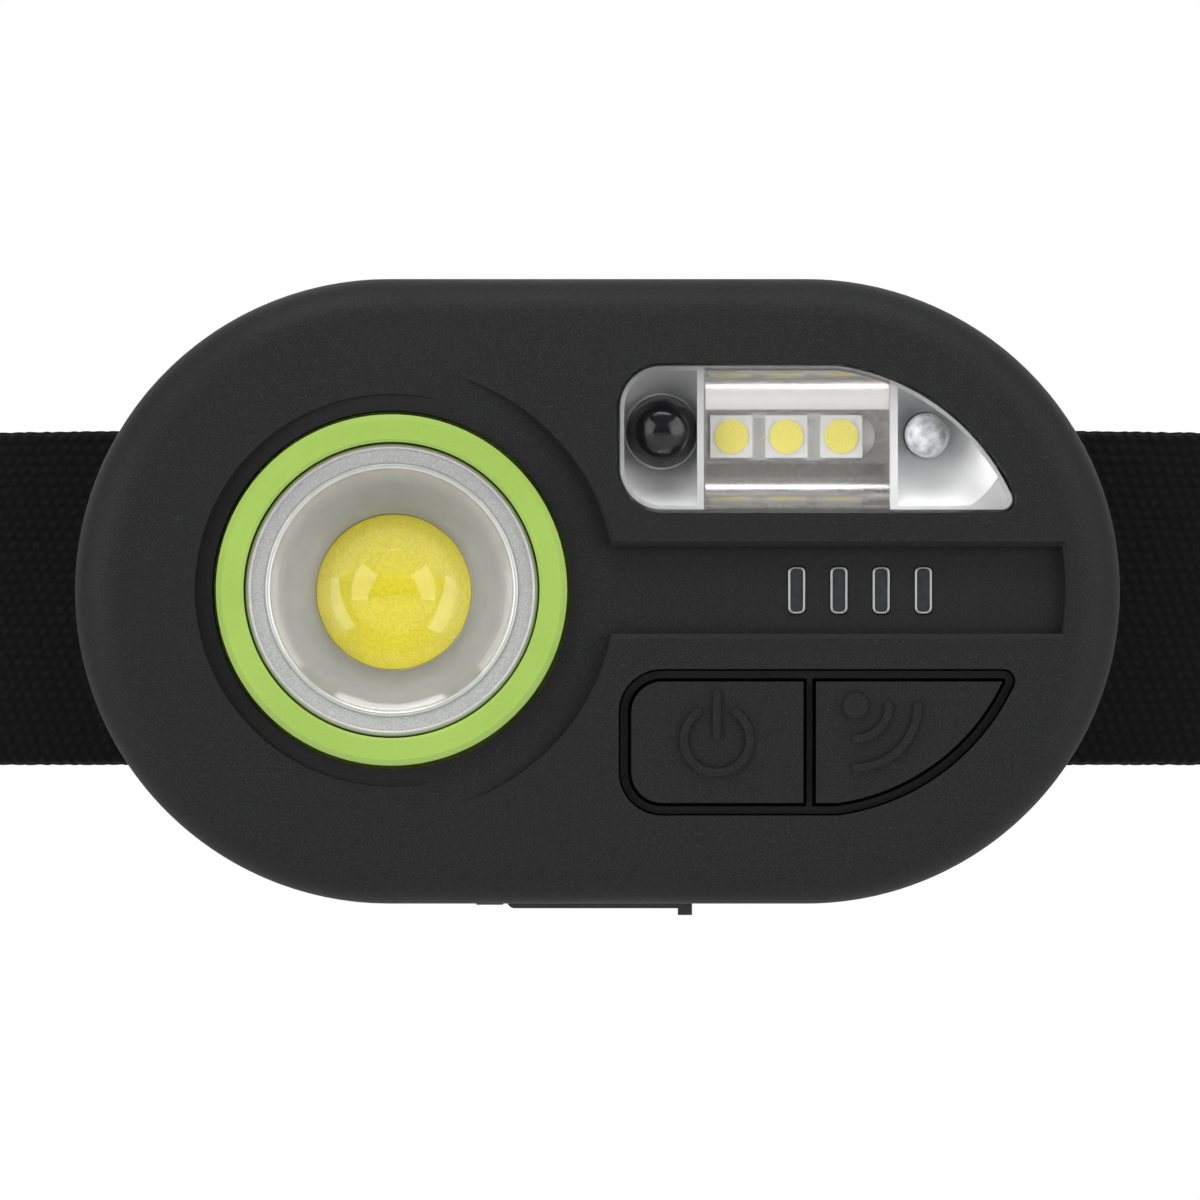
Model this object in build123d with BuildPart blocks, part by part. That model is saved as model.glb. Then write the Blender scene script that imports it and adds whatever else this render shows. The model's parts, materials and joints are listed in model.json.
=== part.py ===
from build123d import *
from math import cos, radians, sin

# Headlamp: a two-shell lamp with a spot and a flood light, on a tilting bracket and an elastic headband.
# The origin is the centre of the forehead pad's skin face. The lamp looks along -Y, +X is its viewer's
# right and +Z is up. Heights named *_H are measured forward from the skin face, so height h is y = -h.

# ---- Driving dimensions, millimetres ----

# Lamp body: a stadium outline with a gently crowned front
BODY_WIDTH = 74.4
BODY_HEIGHT = 44.6
REAR_H = 9.0
PARTING_H = 23.6
FRONT_H = 32.0
WALL = 1.8
FRONT_INNER_H = 29.0
FRONT_EDGE_RADIUS = 3.2
REAR_EDGE_RADIUS = 5.0
CROWN_RADIUS = 120.0

# Relief of the front face
COLLAR_MARGIN = 1.5
COLLAR_DEPTH = 0.95
DISH_MARGIN = 1.95
VALLEY_DEPTH = 1.5
VALLEY_HALF_HEIGHT = 3.1
VALLEY_CORNER_RADIUS = 4.2
VALLEY_END_MARGIN = 4.0
DISH_FALL_LENGTH = 12.0
VALLEY_LIP = 0.4

# Spot light
LENS_X = -14.6
BEZEL_OUTER_RADIUS = 12.45
BEZEL_WIDTH = 1.95
BEZEL_FLANGE = 1.15
BEZEL_PROUD = 0.35
BEZEL_CHAMFER = 0.4
BEZEL_GAP = 0.3
FLANGE_THICKNESS = 0.9
REFLECTOR_GAP = 0.1
REFLECTOR_FLANGE = 1.8
REFLECTOR_FLANGE_H = 31.2
REFLECTOR_RIM = 0.22
REFLECTOR_STEP = 0.3
REFLECTOR_BASE_H = 23.45
LENS_RADIUS = 5.6
LENS_SEAT_H = 24.1
LENS_EDGE = 0.8
LENS_DOME = 3.0
PHOSPHOR_RADIUS = 5.0
PHOSPHOR_THICKNESS = 0.5
SPOT_BOARD_MARGIN = 4.1
SPOT_BOARD_THICKNESS = 1.2
HEAT_SINK_BACK_H = 20.4
HEAT_SINK_FLOOR = 1.6
HEAT_SINK_WALL = 1.4
O_RING_SECTION = 1.56
TUBE_WALL = 1.2
TUBE_END_H = 25.0

# Panels of the face: the flood window above the centre line, the two buttons below it
PANEL_LEFT_X = 1.5
PANEL_LOW = 5.6
PANEL_HIGH = 16.0
PANEL_END_MARGIN = 6.15
PANEL_CORNER_RADIUS = 3.1
PANEL_TIP_RADIUS = 0.85
WINDOW_GAP = 0.15
WINDOW_RECESS = 0.1
WINDOW_THICKNESS = 1.6
WINDOW_RIM = 0.4
PANEL_FLANGE = 0.8
PANEL_FLANGE_THICKNESS = 0.6
WINDOW_BACK_H = 28.2
FLOOD_FIT = 0.2
FLOOD_WALL = 0.3
FLOOD_DIVIDER = 0.6
FLOOD_LEFT_DIVIDER_X = 7.4
FLOOD_RIGHT_DIVIDER_X = 21.1
FLOOD_FLARE_DEG = 56.0
TROUGH_FLOOR = 0.45
TROUGH_HALF = 1.9
TROUGH_TOP_HALF = 4.9
TROUGH_BOW = 0.6
SLOT_END = 0.9

# Electronics
BOARD_BACK_H = 24.2
BOARD_THICKNESS = 1.2
BOARD_EDGE_GAP = 1.2
FLOOD_LED_SIZE = 3.0
FLOOD_LED_THICKNESS = 0.8
FLOOD_LED_PITCH = 3.93
FLOOD_LED_X = 13.5
FLOOD_LED_Z = 10.85
FLOOD_PHOSPHOR_RADIUS = 1.2
FLOOD_PHOSPHOR_THICKNESS = 0.12
IR_RECEIVER_PLACE = (4.6, 11.2)
IR_RECEIVER_RADIUS = 2.5
IR_EMITTER_PLACE = (23.5, 10.95)
IR_EMITTER_RADIUS = 1.6
IR_FLANGE = 0.4
IR_BACK_H = 22.9
IR_TOP_H = 29.2
LIGHT_PIPE_X = 18.65
LIGHT_PIPE_PITCH = 3.0
LIGHT_PIPE_WIDTH = 1.2
LIGHT_PIPE_HEIGHT = 3.36
LIGHT_PIPE_CORNER = 0.4
LIGHT_PIPE_COUNT = 4
LIGHT_PIPE_BAR = 1.0
PIPE_FIT = 0.05
INDICATOR_LED_HEIGHT = 0.7
SWITCH_SIZE = 3.4
SWITCH_HEIGHT = 1.3
PLUNGER_RADIUS = 0.9
PLUNGER_FIT = 0.08
PLUNGER_TOP_H = 27.15

# Buttons
GROOVE_WIDTH = 0.9
BUTTON_SPLIT_X = 15.05
BUTTON_BACK_H = 27.2
BUTTON_FLANGE = 0.45
BUTTON_FLANGE_THICKNESS = 0.6
BUTTON_TRAVEL = 0.5
KEYPAD_FIT = 0.25
KEYPAD_THICKNESS = 0.8
KEYPAD_BACK_H = 28.0
KEYPAD_LIP_DEPTH = 0.8
ICON_RISE = 0.3
ICON_LINE = 0.55
POWER_ICON = (8.46, -10.6)
POWER_ICON_RADIUS = 2.35
POWER_ICON_BAR = 3.5
POWER_ICON_GAP_DEG = 70.0
WAVE_ICON = (18.3, -8.2)
WAVE_DOT_RADIUS = 0.9
WAVE_RADII = (2.35, 4.4)

# Battery and charging
BATTERY_WIDTH = 45.0
BATTERY_HEIGHT = 28.0
BATTERY_THICKNESS = 7.5
BATTERY_Z = 4.0
BATTERY_BACK_H = 12.2
BATTERY_EDGE = 1.5
TAPE_SIZE = (30.0, 18.0)
LEAD_RADIUS = 0.6
USB_H = 20.2
USB_WIDTH = 8.94
USB_THICKNESS = 3.26
USB_LENGTH = 7.3
USB_METAL = 0.3
USB_MOUTH_DEPTH = 1.9
USB_HOLE_GAP = 0.2
USB_BACK = 1.0
USB_TONGUE = (6.7, 0.6)
USB_TONGUE_SHORT = 0.5
CHARGE_BOARD_THICKNESS = 1.0
CHARGE_BOARD_WIDTH = 14.0
CHARGE_BOARD_X = 2.0
CONNECTOR_SIZE = (5.0, 2.6)
CONNECTOR_X = 6.0
CONNECTOR_DROP = 2.0
LEAD_X = (1.0, 3.5)
LEAD_BEND = 1.2
LEAD_DROP = 1.5
COVER_LENGTH = 13.0
COVER_WIDTH = 5.6
COVER_THICKNESS = 1.1
COVER_PROUD = 0.4
COVER_GAP = 0.3
COVER_PLUG_DEPTH = 0.8
COVER_TAB = (1.0, 4.0)
COVER_TAB_DROP = 0.5
ANCHOR_LENGTH = 1.9
ANCHOR_PEG_RADIUS = 0.8

# Fasteners and seal
SCREW_MARGIN = 3.7
SCREW_ANGLE = 29.0
SCREW_RADIUS = 1.0
SCREW_HEAD_RADIUS = 1.9
SCREW_HEAD_THICKNESS = 1.3
SCREW_HEAD_BACK_H = 9.6
SCREW_TIP_H = 26.4
SCREW_FIT = 0.05
BOSS_RADIUS = 2.4
FRONT_BOSS_TOP_H = 27.4
GASKET_WIDTH = 0.8
GASKET_THICKNESS = 0.4
GASKET_FIT = 0.05

# Tilt hinge
HINGE_H = 12.8
HINGE_Z = -17.4
HINGE_RADIUS = 3.0
PIN_RADIUS = 1.25
PIN_RUNNING_FIT = 0.05
PIN_SEAT_FIT = 0.02
KNUCKLE_HALF = 7.8
EAR_WIDTH = 4.0
EAR_GAP = 0.3
PIN_OVERHANG = 0.5
POCKET_GAP = 0.6
POCKET_WALL = 1.4

# Bracket, pad and headband, all curved about one upright axis behind the pad
PAD_RADIUS = 110.0
PAD_THICKNESS = 3.4
PAD_WIDTH = 60.0
PAD_MARGIN = 1.5
PAD_CORNER = 8.0
LAYER_GAP = 0.2
KEEPER_THICKNESS = 1.2
STRAP_WIDTH = 25.0
STRAP_THICKNESS = 1.4
PLATE_THICKNESS = 2.0
PLATE_WIDTH = 62.0
PLATE_MARGIN = 2.5
PLATE_CORNER = 5.0
TONGUE_WIDTH = 26.0
KEEPER_X = 23.0
KEEPER_WIDTH = 6.0
STRAP_EDGE_GAP = 0.5
# Half of the worn loop, front to back: radius and turn of each arc but the last-but-one radius
TEMPLE_RADIUS = 51.0
SIDE_RADIUS = 180.0
BACK_RADIUS = 90.0
FRONT_TURN = 20.0
TEMPLE_TURN = 52.0
SIDE_TURN = 28.0
REAR_TURN = 60.0
BACK_TURN = 20.0

# Strap adjuster on the right-hand side of the loop
ADJUSTER_HALF_LENGTH = 10.0
ADJUSTER_BAR = 4.0
ADJUSTER_BAR_THICKNESS = 1.6
ADJUSTER_CORE_THICKNESS = 1.5
ADJUSTER_RAIL = 2.2
ADJUSTER_GAP = 0.3
TAIL_FRONT_DEG = 14.0
TAIL_REAR_DEG = 7.5
TAIL_SEAM_DEG = 1.8

# ---- Values worked out from the driving dimensions ----

END_SPACING = BODY_WIDTH - BODY_HEIGHT
END_X = END_SPACING / 2
BOTTOM_Z = -BODY_HEIGHT / 2
BOARD_TOP_H = BOARD_BACK_H + BOARD_THICKNESS
VALLEY_END_RADIUS = BODY_HEIGHT / 2 - VALLEY_END_MARGIN
PANEL_END_RADIUS = BODY_HEIGHT / 2 - PANEL_END_MARGIN
SCREW_CIRCLE = BODY_HEIGHT / 2 - SCREW_MARGIN
BEZEL_INNER_RADIUS = BEZEL_OUTER_RADIUS - BEZEL_WIDTH
BEZEL_FLANGE_RADIUS = BEZEL_OUTER_RADIUS + BEZEL_FLANGE
COLLAR_RADIUS = BEZEL_OUTER_RADIUS + COLLAR_MARGIN
DISH_RADIUS = COLLAR_RADIUS + DISH_MARGIN
REFLECTOR_OUTER_RADIUS = BEZEL_INNER_RADIUS - REFLECTOR_GAP
REFLECTOR_MOUTH_RADIUS = REFLECTOR_OUTER_RADIUS - REFLECTOR_FLANGE
REFLECTOR_NECK_RADIUS = REFLECTOR_OUTER_RADIUS - REFLECTOR_FLANGE / 2
SPOT_BOARD_RADIUS = BEZEL_FLANGE_RADIUS - SPOT_BOARD_MARGIN
BEZEL_BORE = BEZEL_OUTER_RADIUS + BEZEL_GAP
HEAT_SINK_RADIUS = BEZEL_FLANGE_RADIUS
TUBE_INNER = BEZEL_FLANGE_RADIUS + BEZEL_GAP
COLLAR_H = FRONT_H - COLLAR_DEPTH
VALLEY_H = FRONT_H - VALLEY_DEPTH
BEZEL_FLANGE_TOP_H = FRONT_INNER_H - LAYER_GAP
BEZEL_BACK_H = BEZEL_FLANGE_TOP_H - FLANGE_THICKNESS
SPOT_BOARD_BACK_H = HEAT_SINK_BACK_H + HEAT_SINK_FLOOR + PIPE_FIT
SPOT_BOARD_TOP_H = SPOT_BOARD_BACK_H + SPOT_BOARD_THICKNESS
PAD_SIZE = (PAD_WIDTH, STRAP_WIDTH + 2 * PAD_MARGIN)
PLATE_SIZE = (PLATE_WIDTH, STRAP_WIDTH + 2 * PLATE_MARGIN)
STRAP_INNER_R = PAD_RADIUS + PAD_THICKNESS + KEEPER_THICKNESS + 2 * LAYER_GAP
STRAP_OUTER_R = STRAP_INNER_R + STRAP_THICKNESS
STRAP_MID_R = (STRAP_INNER_R + STRAP_OUTER_R) / 2
PLATE_INNER_R = STRAP_OUTER_R + LAYER_GAP
PLATE_OUTER_R = PLATE_INNER_R + PLATE_THICKNESS
HINGE_TOP_Z = HINGE_Z + HINGE_RADIUS
HINGE_LOW_Z = HINGE_Z - HINGE_RADIUS
POCKET_HALF = KNUCKLE_HALF + EAR_GAP + EAR_WIDTH + PIN_OVERHANG + POCKET_GAP
POCKET_TOP_Z = HINGE_TOP_Z + POCKET_GAP
POCKET_FRONT_H = HINGE_H + HINGE_RADIUS + POCKET_GAP
LENS_AXIS = Axis((LENS_X, 0, 0), (0, 1, 0))
SCREW_X = END_X + SCREW_CIRCLE * cos(radians(SCREW_ANGLE))
SCREW_Z = SCREW_CIRCLE * sin(radians(SCREW_ANGLE))
SCREW_PLACES = [
    (side * SCREW_X, level * SCREW_Z)
    for side in (-1, 1)
    for level in (-1, 1)
]
COVER_TOP_Z = BOTTOM_Z - COVER_PROUD + COVER_THICKNESS
COVER_RECESS_Z = COVER_TOP_Z + COVER_GAP
COVER_BARREL = COVER_THICKNESS / 2
COVER_AXIS_X = -COVER_LENGTH / 2 + COVER_BARREL
COVER_AXIS_Z = COVER_TOP_Z - COVER_BARREL


# ---- Shared outlines and tools ----


def front_plane(height):
    """The plane that faces forward at this height above the skin face, with X across and Z up."""
    return Plane.XZ.offset(height)


def body_outline(inset=0.0):
    """The stadium outline of the lamp body, drawn into the open sketch."""
    SlotCenterToCenter(END_SPACING, BODY_HEIGHT - 2 * inset)


def panel_outline(level, inset=0.0):
    """One face panel, above (1) or below (-1) the centre line, drawn into the open sketch."""
    width = END_X + PANEL_END_RADIUS - PANEL_LEFT_X
    height = PANEL_HIGH - PANEL_LOW
    with BuildSketch(mode=Mode.PRIVATE) as panel:
        SlotCenterToCenter(END_SPACING, 2 * PANEL_END_RADIUS)
        with Locations((PANEL_LEFT_X + width / 2, level * (PANEL_LOW + height / 2))):
            Rectangle(width, height, mode=Mode.INTERSECT)
        fillet(panel.vertices().group_by(Axis.X)[0], PANEL_CORNER_RADIUS)
        fillet(panel.vertices().group_by(Axis.X)[-1], PANEL_TIP_RADIUS)
        if inset:
            offset(amount=-inset, kind=Kind.INTERSECTION)
    add(panel.sketch)


def crown(rise=0.0, mode=Mode.INTERSECT):
    """The cylinder about a level axis whose front is the lamp's crowned face, raised by rise."""
    with Locations((0, CROWN_RADIUS - FRONT_H, 0)):
        Cylinder(CROWN_RADIUS + rise, 2 * BODY_WIDTH, rotation=(0, 90, 0), mode=mode)


def turned_profile(points):
    """A closed profile about the lens axis, from pairs of radius and height, in the open sketch."""
    with BuildLine() as outline:
        Polyline(*[(LENS_X + radius, -height) for radius, height in points], close=True)
    make_face(outline.edges())


def layer_ring(inner_radius, outer_radius):
    """A band curved like the forehead between two radii, in the open part."""
    with BuildSketch(Plane.XY) as band:
        with Locations((0, PAD_RADIUS)):
            Circle(outer_radius)
            Circle(inner_radius, mode=Mode.SUBTRACT)
        with Locations((0, 0)):
            Rectangle(2 * PLATE_SIZE[0], PAD_RADIUS, mode=Mode.INTERSECT)
    extrude(band.sketch, amount=PAD_RADIUS / 2, both=True)


def finish(builder, name):
    """Labels a finished piece and writes its STEP file."""
    builder.part.label = name
    export_step(builder.part, f"parts/{name}.step")


# ---- Front shell ----

with BuildPart() as front_cavity:
    with BuildSketch(front_plane(PARTING_H)):
        body_outline(WALL)
    extrude(amount=FRONT_INNER_H - PARTING_H)
    with BuildSketch(front_plane(PARTING_H)):
        with Locations(*SCREW_PLACES):
            Circle(BOSS_RADIUS)
    extrude(amount=FRONT_BOSS_TOP_H - PARTING_H, mode=Mode.SUBTRACT)
    with BuildSketch(front_plane(TUBE_END_H)):
        with Locations((LENS_X, 0)):
            Circle(TUBE_INNER + TUBE_WALL)
            Circle(TUBE_INNER, mode=Mode.SUBTRACT)
    extrude(amount=FRONT_INNER_H - TUBE_END_H, mode=Mode.SUBTRACT)

with BuildPart() as valley:
    with BuildSketch(front_plane(VALLEY_H)) as valley_outline:
        with Locations((END_X, 0)):
            Circle(VALLEY_END_RADIUS)
        with Locations((END_X, 0)):
            Rectangle(2 * VALLEY_END_RADIUS, 2 * VALLEY_HALF_HEIGHT, mode=Mode.INTERSECT)
        with Locations((LENS_X, 0)):
            Circle(DISH_RADIUS)
        corners = valley_outline.vertices().filter_by(
            lambda corner: abs(abs(corner.Z) - VALLEY_HALF_HEIGHT) < 0.01 and corner.X < END_X
        )
        fillet(corners, VALLEY_CORNER_RADIUS)
    extrude(amount=2 * VALLEY_DEPTH)
    # The lips of the valley flare outward where they meet the face
    extrude(Pos(0, VALLEY_LIP - VALLEY_DEPTH, 0) * valley_outline.sketch, amount=VALLEY_LIP, taper=-45)
    # The dish floor slopes from the collar's level down to the valley floor
    dish_fall = (VALLEY_DEPTH - COLLAR_DEPTH) / DISH_FALL_LENGTH
    dish_floor = Plane(origin=(LENS_X + DISH_RADIUS, -VALLEY_H, 0), z_dir=(dish_fall, -1, 0))
    split(bisect_by=dish_floor, keep=Keep.TOP)

with BuildPart() as front_shell:
    with BuildSketch(front_plane(PARTING_H)):
        body_outline()
    extrude(amount=FRONT_H - PARTING_H)
    crown()
    fillet(front_shell.faces().sort_by(Axis.Y)[0].edges(), FRONT_EDGE_RADIUS)
    add(front_cavity.part, mode=Mode.SUBTRACT)
    add(valley.part, mode=Mode.SUBTRACT)
    with BuildSketch(front_plane(COLLAR_H)):
        with Locations((LENS_X, 0)):
            Circle(COLLAR_RADIUS)
    extrude(amount=VALLEY_DEPTH, mode=Mode.SUBTRACT)
    with BuildSketch(front_plane(TUBE_END_H)):
        with Locations((LENS_X, 0)):
            Circle(BEZEL_BORE)
        panel_outline(1, -WINDOW_GAP)
        panel_outline(-1)
        with Locations((LIGHT_PIPE_X, 0)):
            with GridLocations(LIGHT_PIPE_PITCH, 0, LIGHT_PIPE_COUNT, 1):
                RectangleRounded(
                    LIGHT_PIPE_WIDTH + 2 * PIPE_FIT, LIGHT_PIPE_HEIGHT + 2 * PIPE_FIT, LIGHT_PIPE_CORNER
                )
    extrude(amount=FRONT_H - TUBE_END_H, mode=Mode.SUBTRACT)
    with BuildSketch(front_plane(PARTING_H)):
        with Locations(*SCREW_PLACES):
            Circle(SCREW_RADIUS + SCREW_FIT)
    extrude(amount=SCREW_TIP_H + BUTTON_TRAVEL - PARTING_H, mode=Mode.SUBTRACT)
finish(front_shell, "front_shell")

# ---- Rear shell, with the screw bosses, the hinge pocket and knuckle, and the charging port ----

with BuildPart() as rear_cavity:
    with BuildSketch(front_plane(REAR_H + WALL)):
        body_outline(WALL)
    extrude(amount=PARTING_H - REAR_H - WALL)
    fillet(rear_cavity.faces().sort_by(Axis.Y)[-1].edges(), REAR_EDGE_RADIUS - WALL)
    with BuildSketch(front_plane(REAR_H)):
        with Locations(*SCREW_PLACES):
            Circle(BOSS_RADIUS)
    extrude(amount=PARTING_H - REAR_H, mode=Mode.SUBTRACT)
    with BuildSketch(front_plane(REAR_H)):
        with Locations((0, POCKET_TOP_Z + POCKET_WALL)):
            Rectangle(2 * (POCKET_HALF + POCKET_WALL), BODY_HEIGHT, align=(Align.CENTER, Align.MAX))
    extrude(amount=POCKET_FRONT_H + POCKET_WALL - REAR_H, mode=Mode.SUBTRACT)

with BuildPart() as rear_shell:
    with BuildSketch(front_plane(REAR_H)):
        body_outline()
    extrude(amount=PARTING_H - REAR_H)
    fillet(rear_shell.faces().sort_by(Axis.Y)[-1].edges(), REAR_EDGE_RADIUS)
    add(rear_cavity.part, mode=Mode.SUBTRACT)
    # Hinge pocket, open to the back and below, with the knuckle standing in its middle
    with BuildSketch(front_plane(REAR_H - WALL)):
        with Locations((0, POCKET_TOP_Z)):
            Rectangle(2 * POCKET_HALF, BODY_HEIGHT, align=(Align.CENTER, Align.MAX))
    extrude(amount=POCKET_FRONT_H - REAR_H + WALL, mode=Mode.SUBTRACT)
    with BuildSketch(Plane.YZ):
        with Locations((-HINGE_H, HINGE_Z)):
            Circle(HINGE_RADIUS)
        with Locations((-HINGE_H, HINGE_Z)):
            Rectangle(POCKET_FRONT_H - HINGE_H, 2 * HINGE_RADIUS, align=(Align.MAX, Align.CENTER))
    extrude(amount=KNUCKLE_HALF, both=True)
    with BuildSketch(Plane.YZ):
        with Locations((-HINGE_H, HINGE_Z)):
            Circle(PIN_RADIUS + PIN_RUNNING_FIT)
    extrude(amount=KNUCKLE_HALF, both=True, mode=Mode.SUBTRACT)
    # Recess for the charging cover and its anchor, and the port through the wall
    with BuildSketch(Plane.XY.offset(BOTTOM_Z)):
        recess_left = -COVER_LENGTH / 2 - COVER_GAP - ANCHOR_LENGTH - COVER_GAP
        with Locations((recess_left, -USB_H)):
            Rectangle(
                COVER_LENGTH / 2 + COVER_GAP - recess_left,
                COVER_WIDTH + 2 * COVER_GAP,
                align=(Align.MIN, Align.CENTER),
            )
    extrude(amount=COVER_RECESS_Z - BOTTOM_Z, mode=Mode.SUBTRACT)
    with BuildSketch(Plane.XY.offset(BOTTOM_Z)):
        with Locations((0, -USB_H)):
            SlotOverall(USB_WIDTH + 2 * USB_HOLE_GAP, USB_THICKNESS + 2 * USB_HOLE_GAP)
        with Locations((-COVER_LENGTH / 2 - COVER_GAP - ANCHOR_LENGTH / 2, -USB_H)):
            Circle(ANCHOR_PEG_RADIUS + PIPE_FIT)
    extrude(amount=2 * WALL, mode=Mode.SUBTRACT)
    # Screw clearance holes and head recesses
    with BuildSketch(front_plane(REAR_H - WALL)):
        with Locations(*SCREW_PLACES):
            Circle(SCREW_HEAD_RADIUS + 2 * SCREW_FIT)
    extrude(amount=SCREW_HEAD_BACK_H + SCREW_HEAD_THICKNESS - REAR_H + WALL, mode=Mode.SUBTRACT)
    with BuildSketch(front_plane(REAR_H)):
        with Locations(*SCREW_PLACES):
            Circle(SCREW_RADIUS + SCREW_FIT)
    extrude(amount=PARTING_H - REAR_H, mode=Mode.SUBTRACT)
    # Seal groove in the mating face
    with BuildSketch(front_plane(PARTING_H)):
        body_outline((WALL - GASKET_WIDTH) / 2 - GASKET_FIT)
        with BuildSketch(mode=Mode.PRIVATE) as groove_core:
            body_outline((WALL + GASKET_WIDTH) / 2 + GASKET_FIT)
        add(groove_core.sketch, mode=Mode.SUBTRACT)
    extrude(amount=-GASKET_THICKNESS - GASKET_FIT, mode=Mode.SUBTRACT)
finish(rear_shell, "rear_shell")

with BuildPart() as shell_gasket:
    with BuildSketch(front_plane(PARTING_H - GASKET_THICKNESS)):
        body_outline((WALL - GASKET_WIDTH) / 2)
        with BuildSketch(mode=Mode.PRIVATE) as gasket_core:
            body_outline((WALL + GASKET_WIDTH) / 2)
        add(gasket_core.sketch, mode=Mode.SUBTRACT)
    extrude(amount=GASKET_THICKNESS)
finish(shell_gasket, "shell_gasket")

with BuildPart() as shell_screws:
    with BuildSketch(front_plane(SCREW_HEAD_BACK_H)):
        with Locations(*SCREW_PLACES):
            Circle(SCREW_HEAD_RADIUS)
    extrude(amount=SCREW_HEAD_THICKNESS - SCREW_FIT)
    with BuildSketch(front_plane(SCREW_HEAD_BACK_H)):
        with Locations(*SCREW_PLACES):
            Circle(SCREW_RADIUS)
    extrude(amount=SCREW_TIP_H - SCREW_HEAD_BACK_H)
    with BuildSketch(front_plane(SCREW_HEAD_BACK_H)):
        with Locations(*SCREW_PLACES):
            RegularPolygon(SCREW_RADIUS, 6)
    extrude(amount=SCREW_HEAD_THICKNESS / 2, mode=Mode.SUBTRACT)
finish(shell_screws, "shell_screws")

# ---- Spot light ----

with BuildPart() as bezel_ring:
    with BuildSketch(Plane.XY):
        top = FRONT_H + BEZEL_PROUD
        turned_profile(
            [
                (BEZEL_INNER_RADIUS, BEZEL_BACK_H),
                (BEZEL_FLANGE_RADIUS, BEZEL_BACK_H),
                (BEZEL_FLANGE_RADIUS, BEZEL_FLANGE_TOP_H),
                (BEZEL_OUTER_RADIUS, BEZEL_FLANGE_TOP_H),
                (BEZEL_OUTER_RADIUS, top - BEZEL_CHAMFER),
                (BEZEL_OUTER_RADIUS - BEZEL_CHAMFER, top),
                (BEZEL_INNER_RADIUS + BEZEL_CHAMFER / 2, top),
                (BEZEL_INNER_RADIUS, top - BEZEL_CHAMFER / 2),
            ]
        )
    revolve(axis=LENS_AXIS)
finish(bezel_ring, "bezel_ring")

shoulder_radius = HEAT_SINK_RADIUS - HEAT_SINK_WALL - BEZEL_GAP
shoulder_top = BEZEL_BACK_H - LAYER_GAP - O_RING_SECTION
with BuildPart() as spot_reflector:
    with BuildSketch(Plane.XY):
        flange_back = REFLECTOR_FLANGE_H - O_RING_SECTION
        seat_top = LENS_SEAT_H + LENS_EDGE
        turned_profile(
            [
                (LENS_RADIUS + PIPE_FIT, REFLECTOR_BASE_H),
                (shoulder_radius, REFLECTOR_BASE_H),
                (shoulder_radius, shoulder_top),
                (REFLECTOR_NECK_RADIUS, shoulder_top),
                (REFLECTOR_NECK_RADIUS, flange_back),
                (REFLECTOR_OUTER_RADIUS, flange_back),
                (REFLECTOR_OUTER_RADIUS, REFLECTOR_FLANGE_H),
                (REFLECTOR_MOUTH_RADIUS, REFLECTOR_FLANGE_H),
                (REFLECTOR_MOUTH_RADIUS - PIPE_FIT, REFLECTOR_FLANGE_H - REFLECTOR_STEP),
                (LENS_RADIUS + PIPE_FIT, seat_top),
            ]
        )
        rim_radii = (REFLECTOR_OUTER_RADIUS - REFLECTOR_RIM, REFLECTOR_MOUTH_RADIUS + REFLECTOR_RIM)
        with Locations(*[(LENS_X + radius, -REFLECTOR_FLANGE_H) for radius in rim_radii]):
            Circle(REFLECTOR_RIM)
    revolve(axis=LENS_AXIS)
finish(spot_reflector, "spot_reflector")

with BuildPart() as spot_dome_lens:
    dome_radius = (LENS_RADIUS**2 + LENS_DOME**2) / (2 * LENS_DOME)
    dome_top = LENS_SEAT_H + LENS_EDGE + LENS_DOME
    with Locations((LENS_X, dome_radius - dome_top, 0)):
        Sphere(dome_radius)
    with BuildSketch(front_plane(LENS_SEAT_H)):
        with Locations((LENS_X, 0)):
            Circle(LENS_RADIUS)
    extrude(amount=LENS_EDGE + LENS_DOME, mode=Mode.INTERSECT)
finish(spot_dome_lens, "spot_dome_lens")

with BuildPart() as lens_o_ring:
    with BuildSketch(Plane.XY):
        seal_radius = (REFLECTOR_NECK_RADIUS + HEAT_SINK_RADIUS - HEAT_SINK_WALL) / 2
        with Locations((LENS_X + seal_radius, -shoulder_top - LAYER_GAP / 2 - O_RING_SECTION / 2)):
            Circle(O_RING_SECTION / 2)
    revolve(axis=LENS_AXIS)
finish(lens_o_ring, "lens_o_ring")

with BuildPart() as spot_phosphor:
    with BuildSketch(front_plane(SPOT_BOARD_TOP_H)):
        with Locations((LENS_X, 0)):
            Circle(PHOSPHOR_RADIUS)
    extrude(amount=PHOSPHOR_THICKNESS)
finish(spot_phosphor, "spot_phosphor")

with BuildPart() as spot_led_board:
    with BuildSketch(front_plane(SPOT_BOARD_BACK_H)):
        with Locations((LENS_X, 0)):
            Circle(SPOT_BOARD_RADIUS)
            with PolarLocations(SPOT_BOARD_RADIUS, 6):
                Circle(SPOT_BOARD_THICKNESS, mode=Mode.SUBTRACT)
    extrude(amount=SPOT_BOARD_THICKNESS)
finish(spot_led_board, "spot_led_board")

with BuildPart() as heat_sink:
    with BuildSketch(front_plane(HEAT_SINK_BACK_H)):
        with Locations((LENS_X, 0)):
            Circle(HEAT_SINK_RADIUS)
    extrude(amount=BEZEL_BACK_H - LAYER_GAP / 2 - HEAT_SINK_BACK_H)
    with BuildSketch(front_plane(HEAT_SINK_BACK_H + HEAT_SINK_FLOOR)):
        with Locations((LENS_X, 0)):
            Circle(HEAT_SINK_RADIUS - HEAT_SINK_WALL)
    extrude(amount=BEZEL_BACK_H - HEAT_SINK_BACK_H, mode=Mode.SUBTRACT)
finish(heat_sink, "heat_sink")

# ---- Flood light ----

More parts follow.
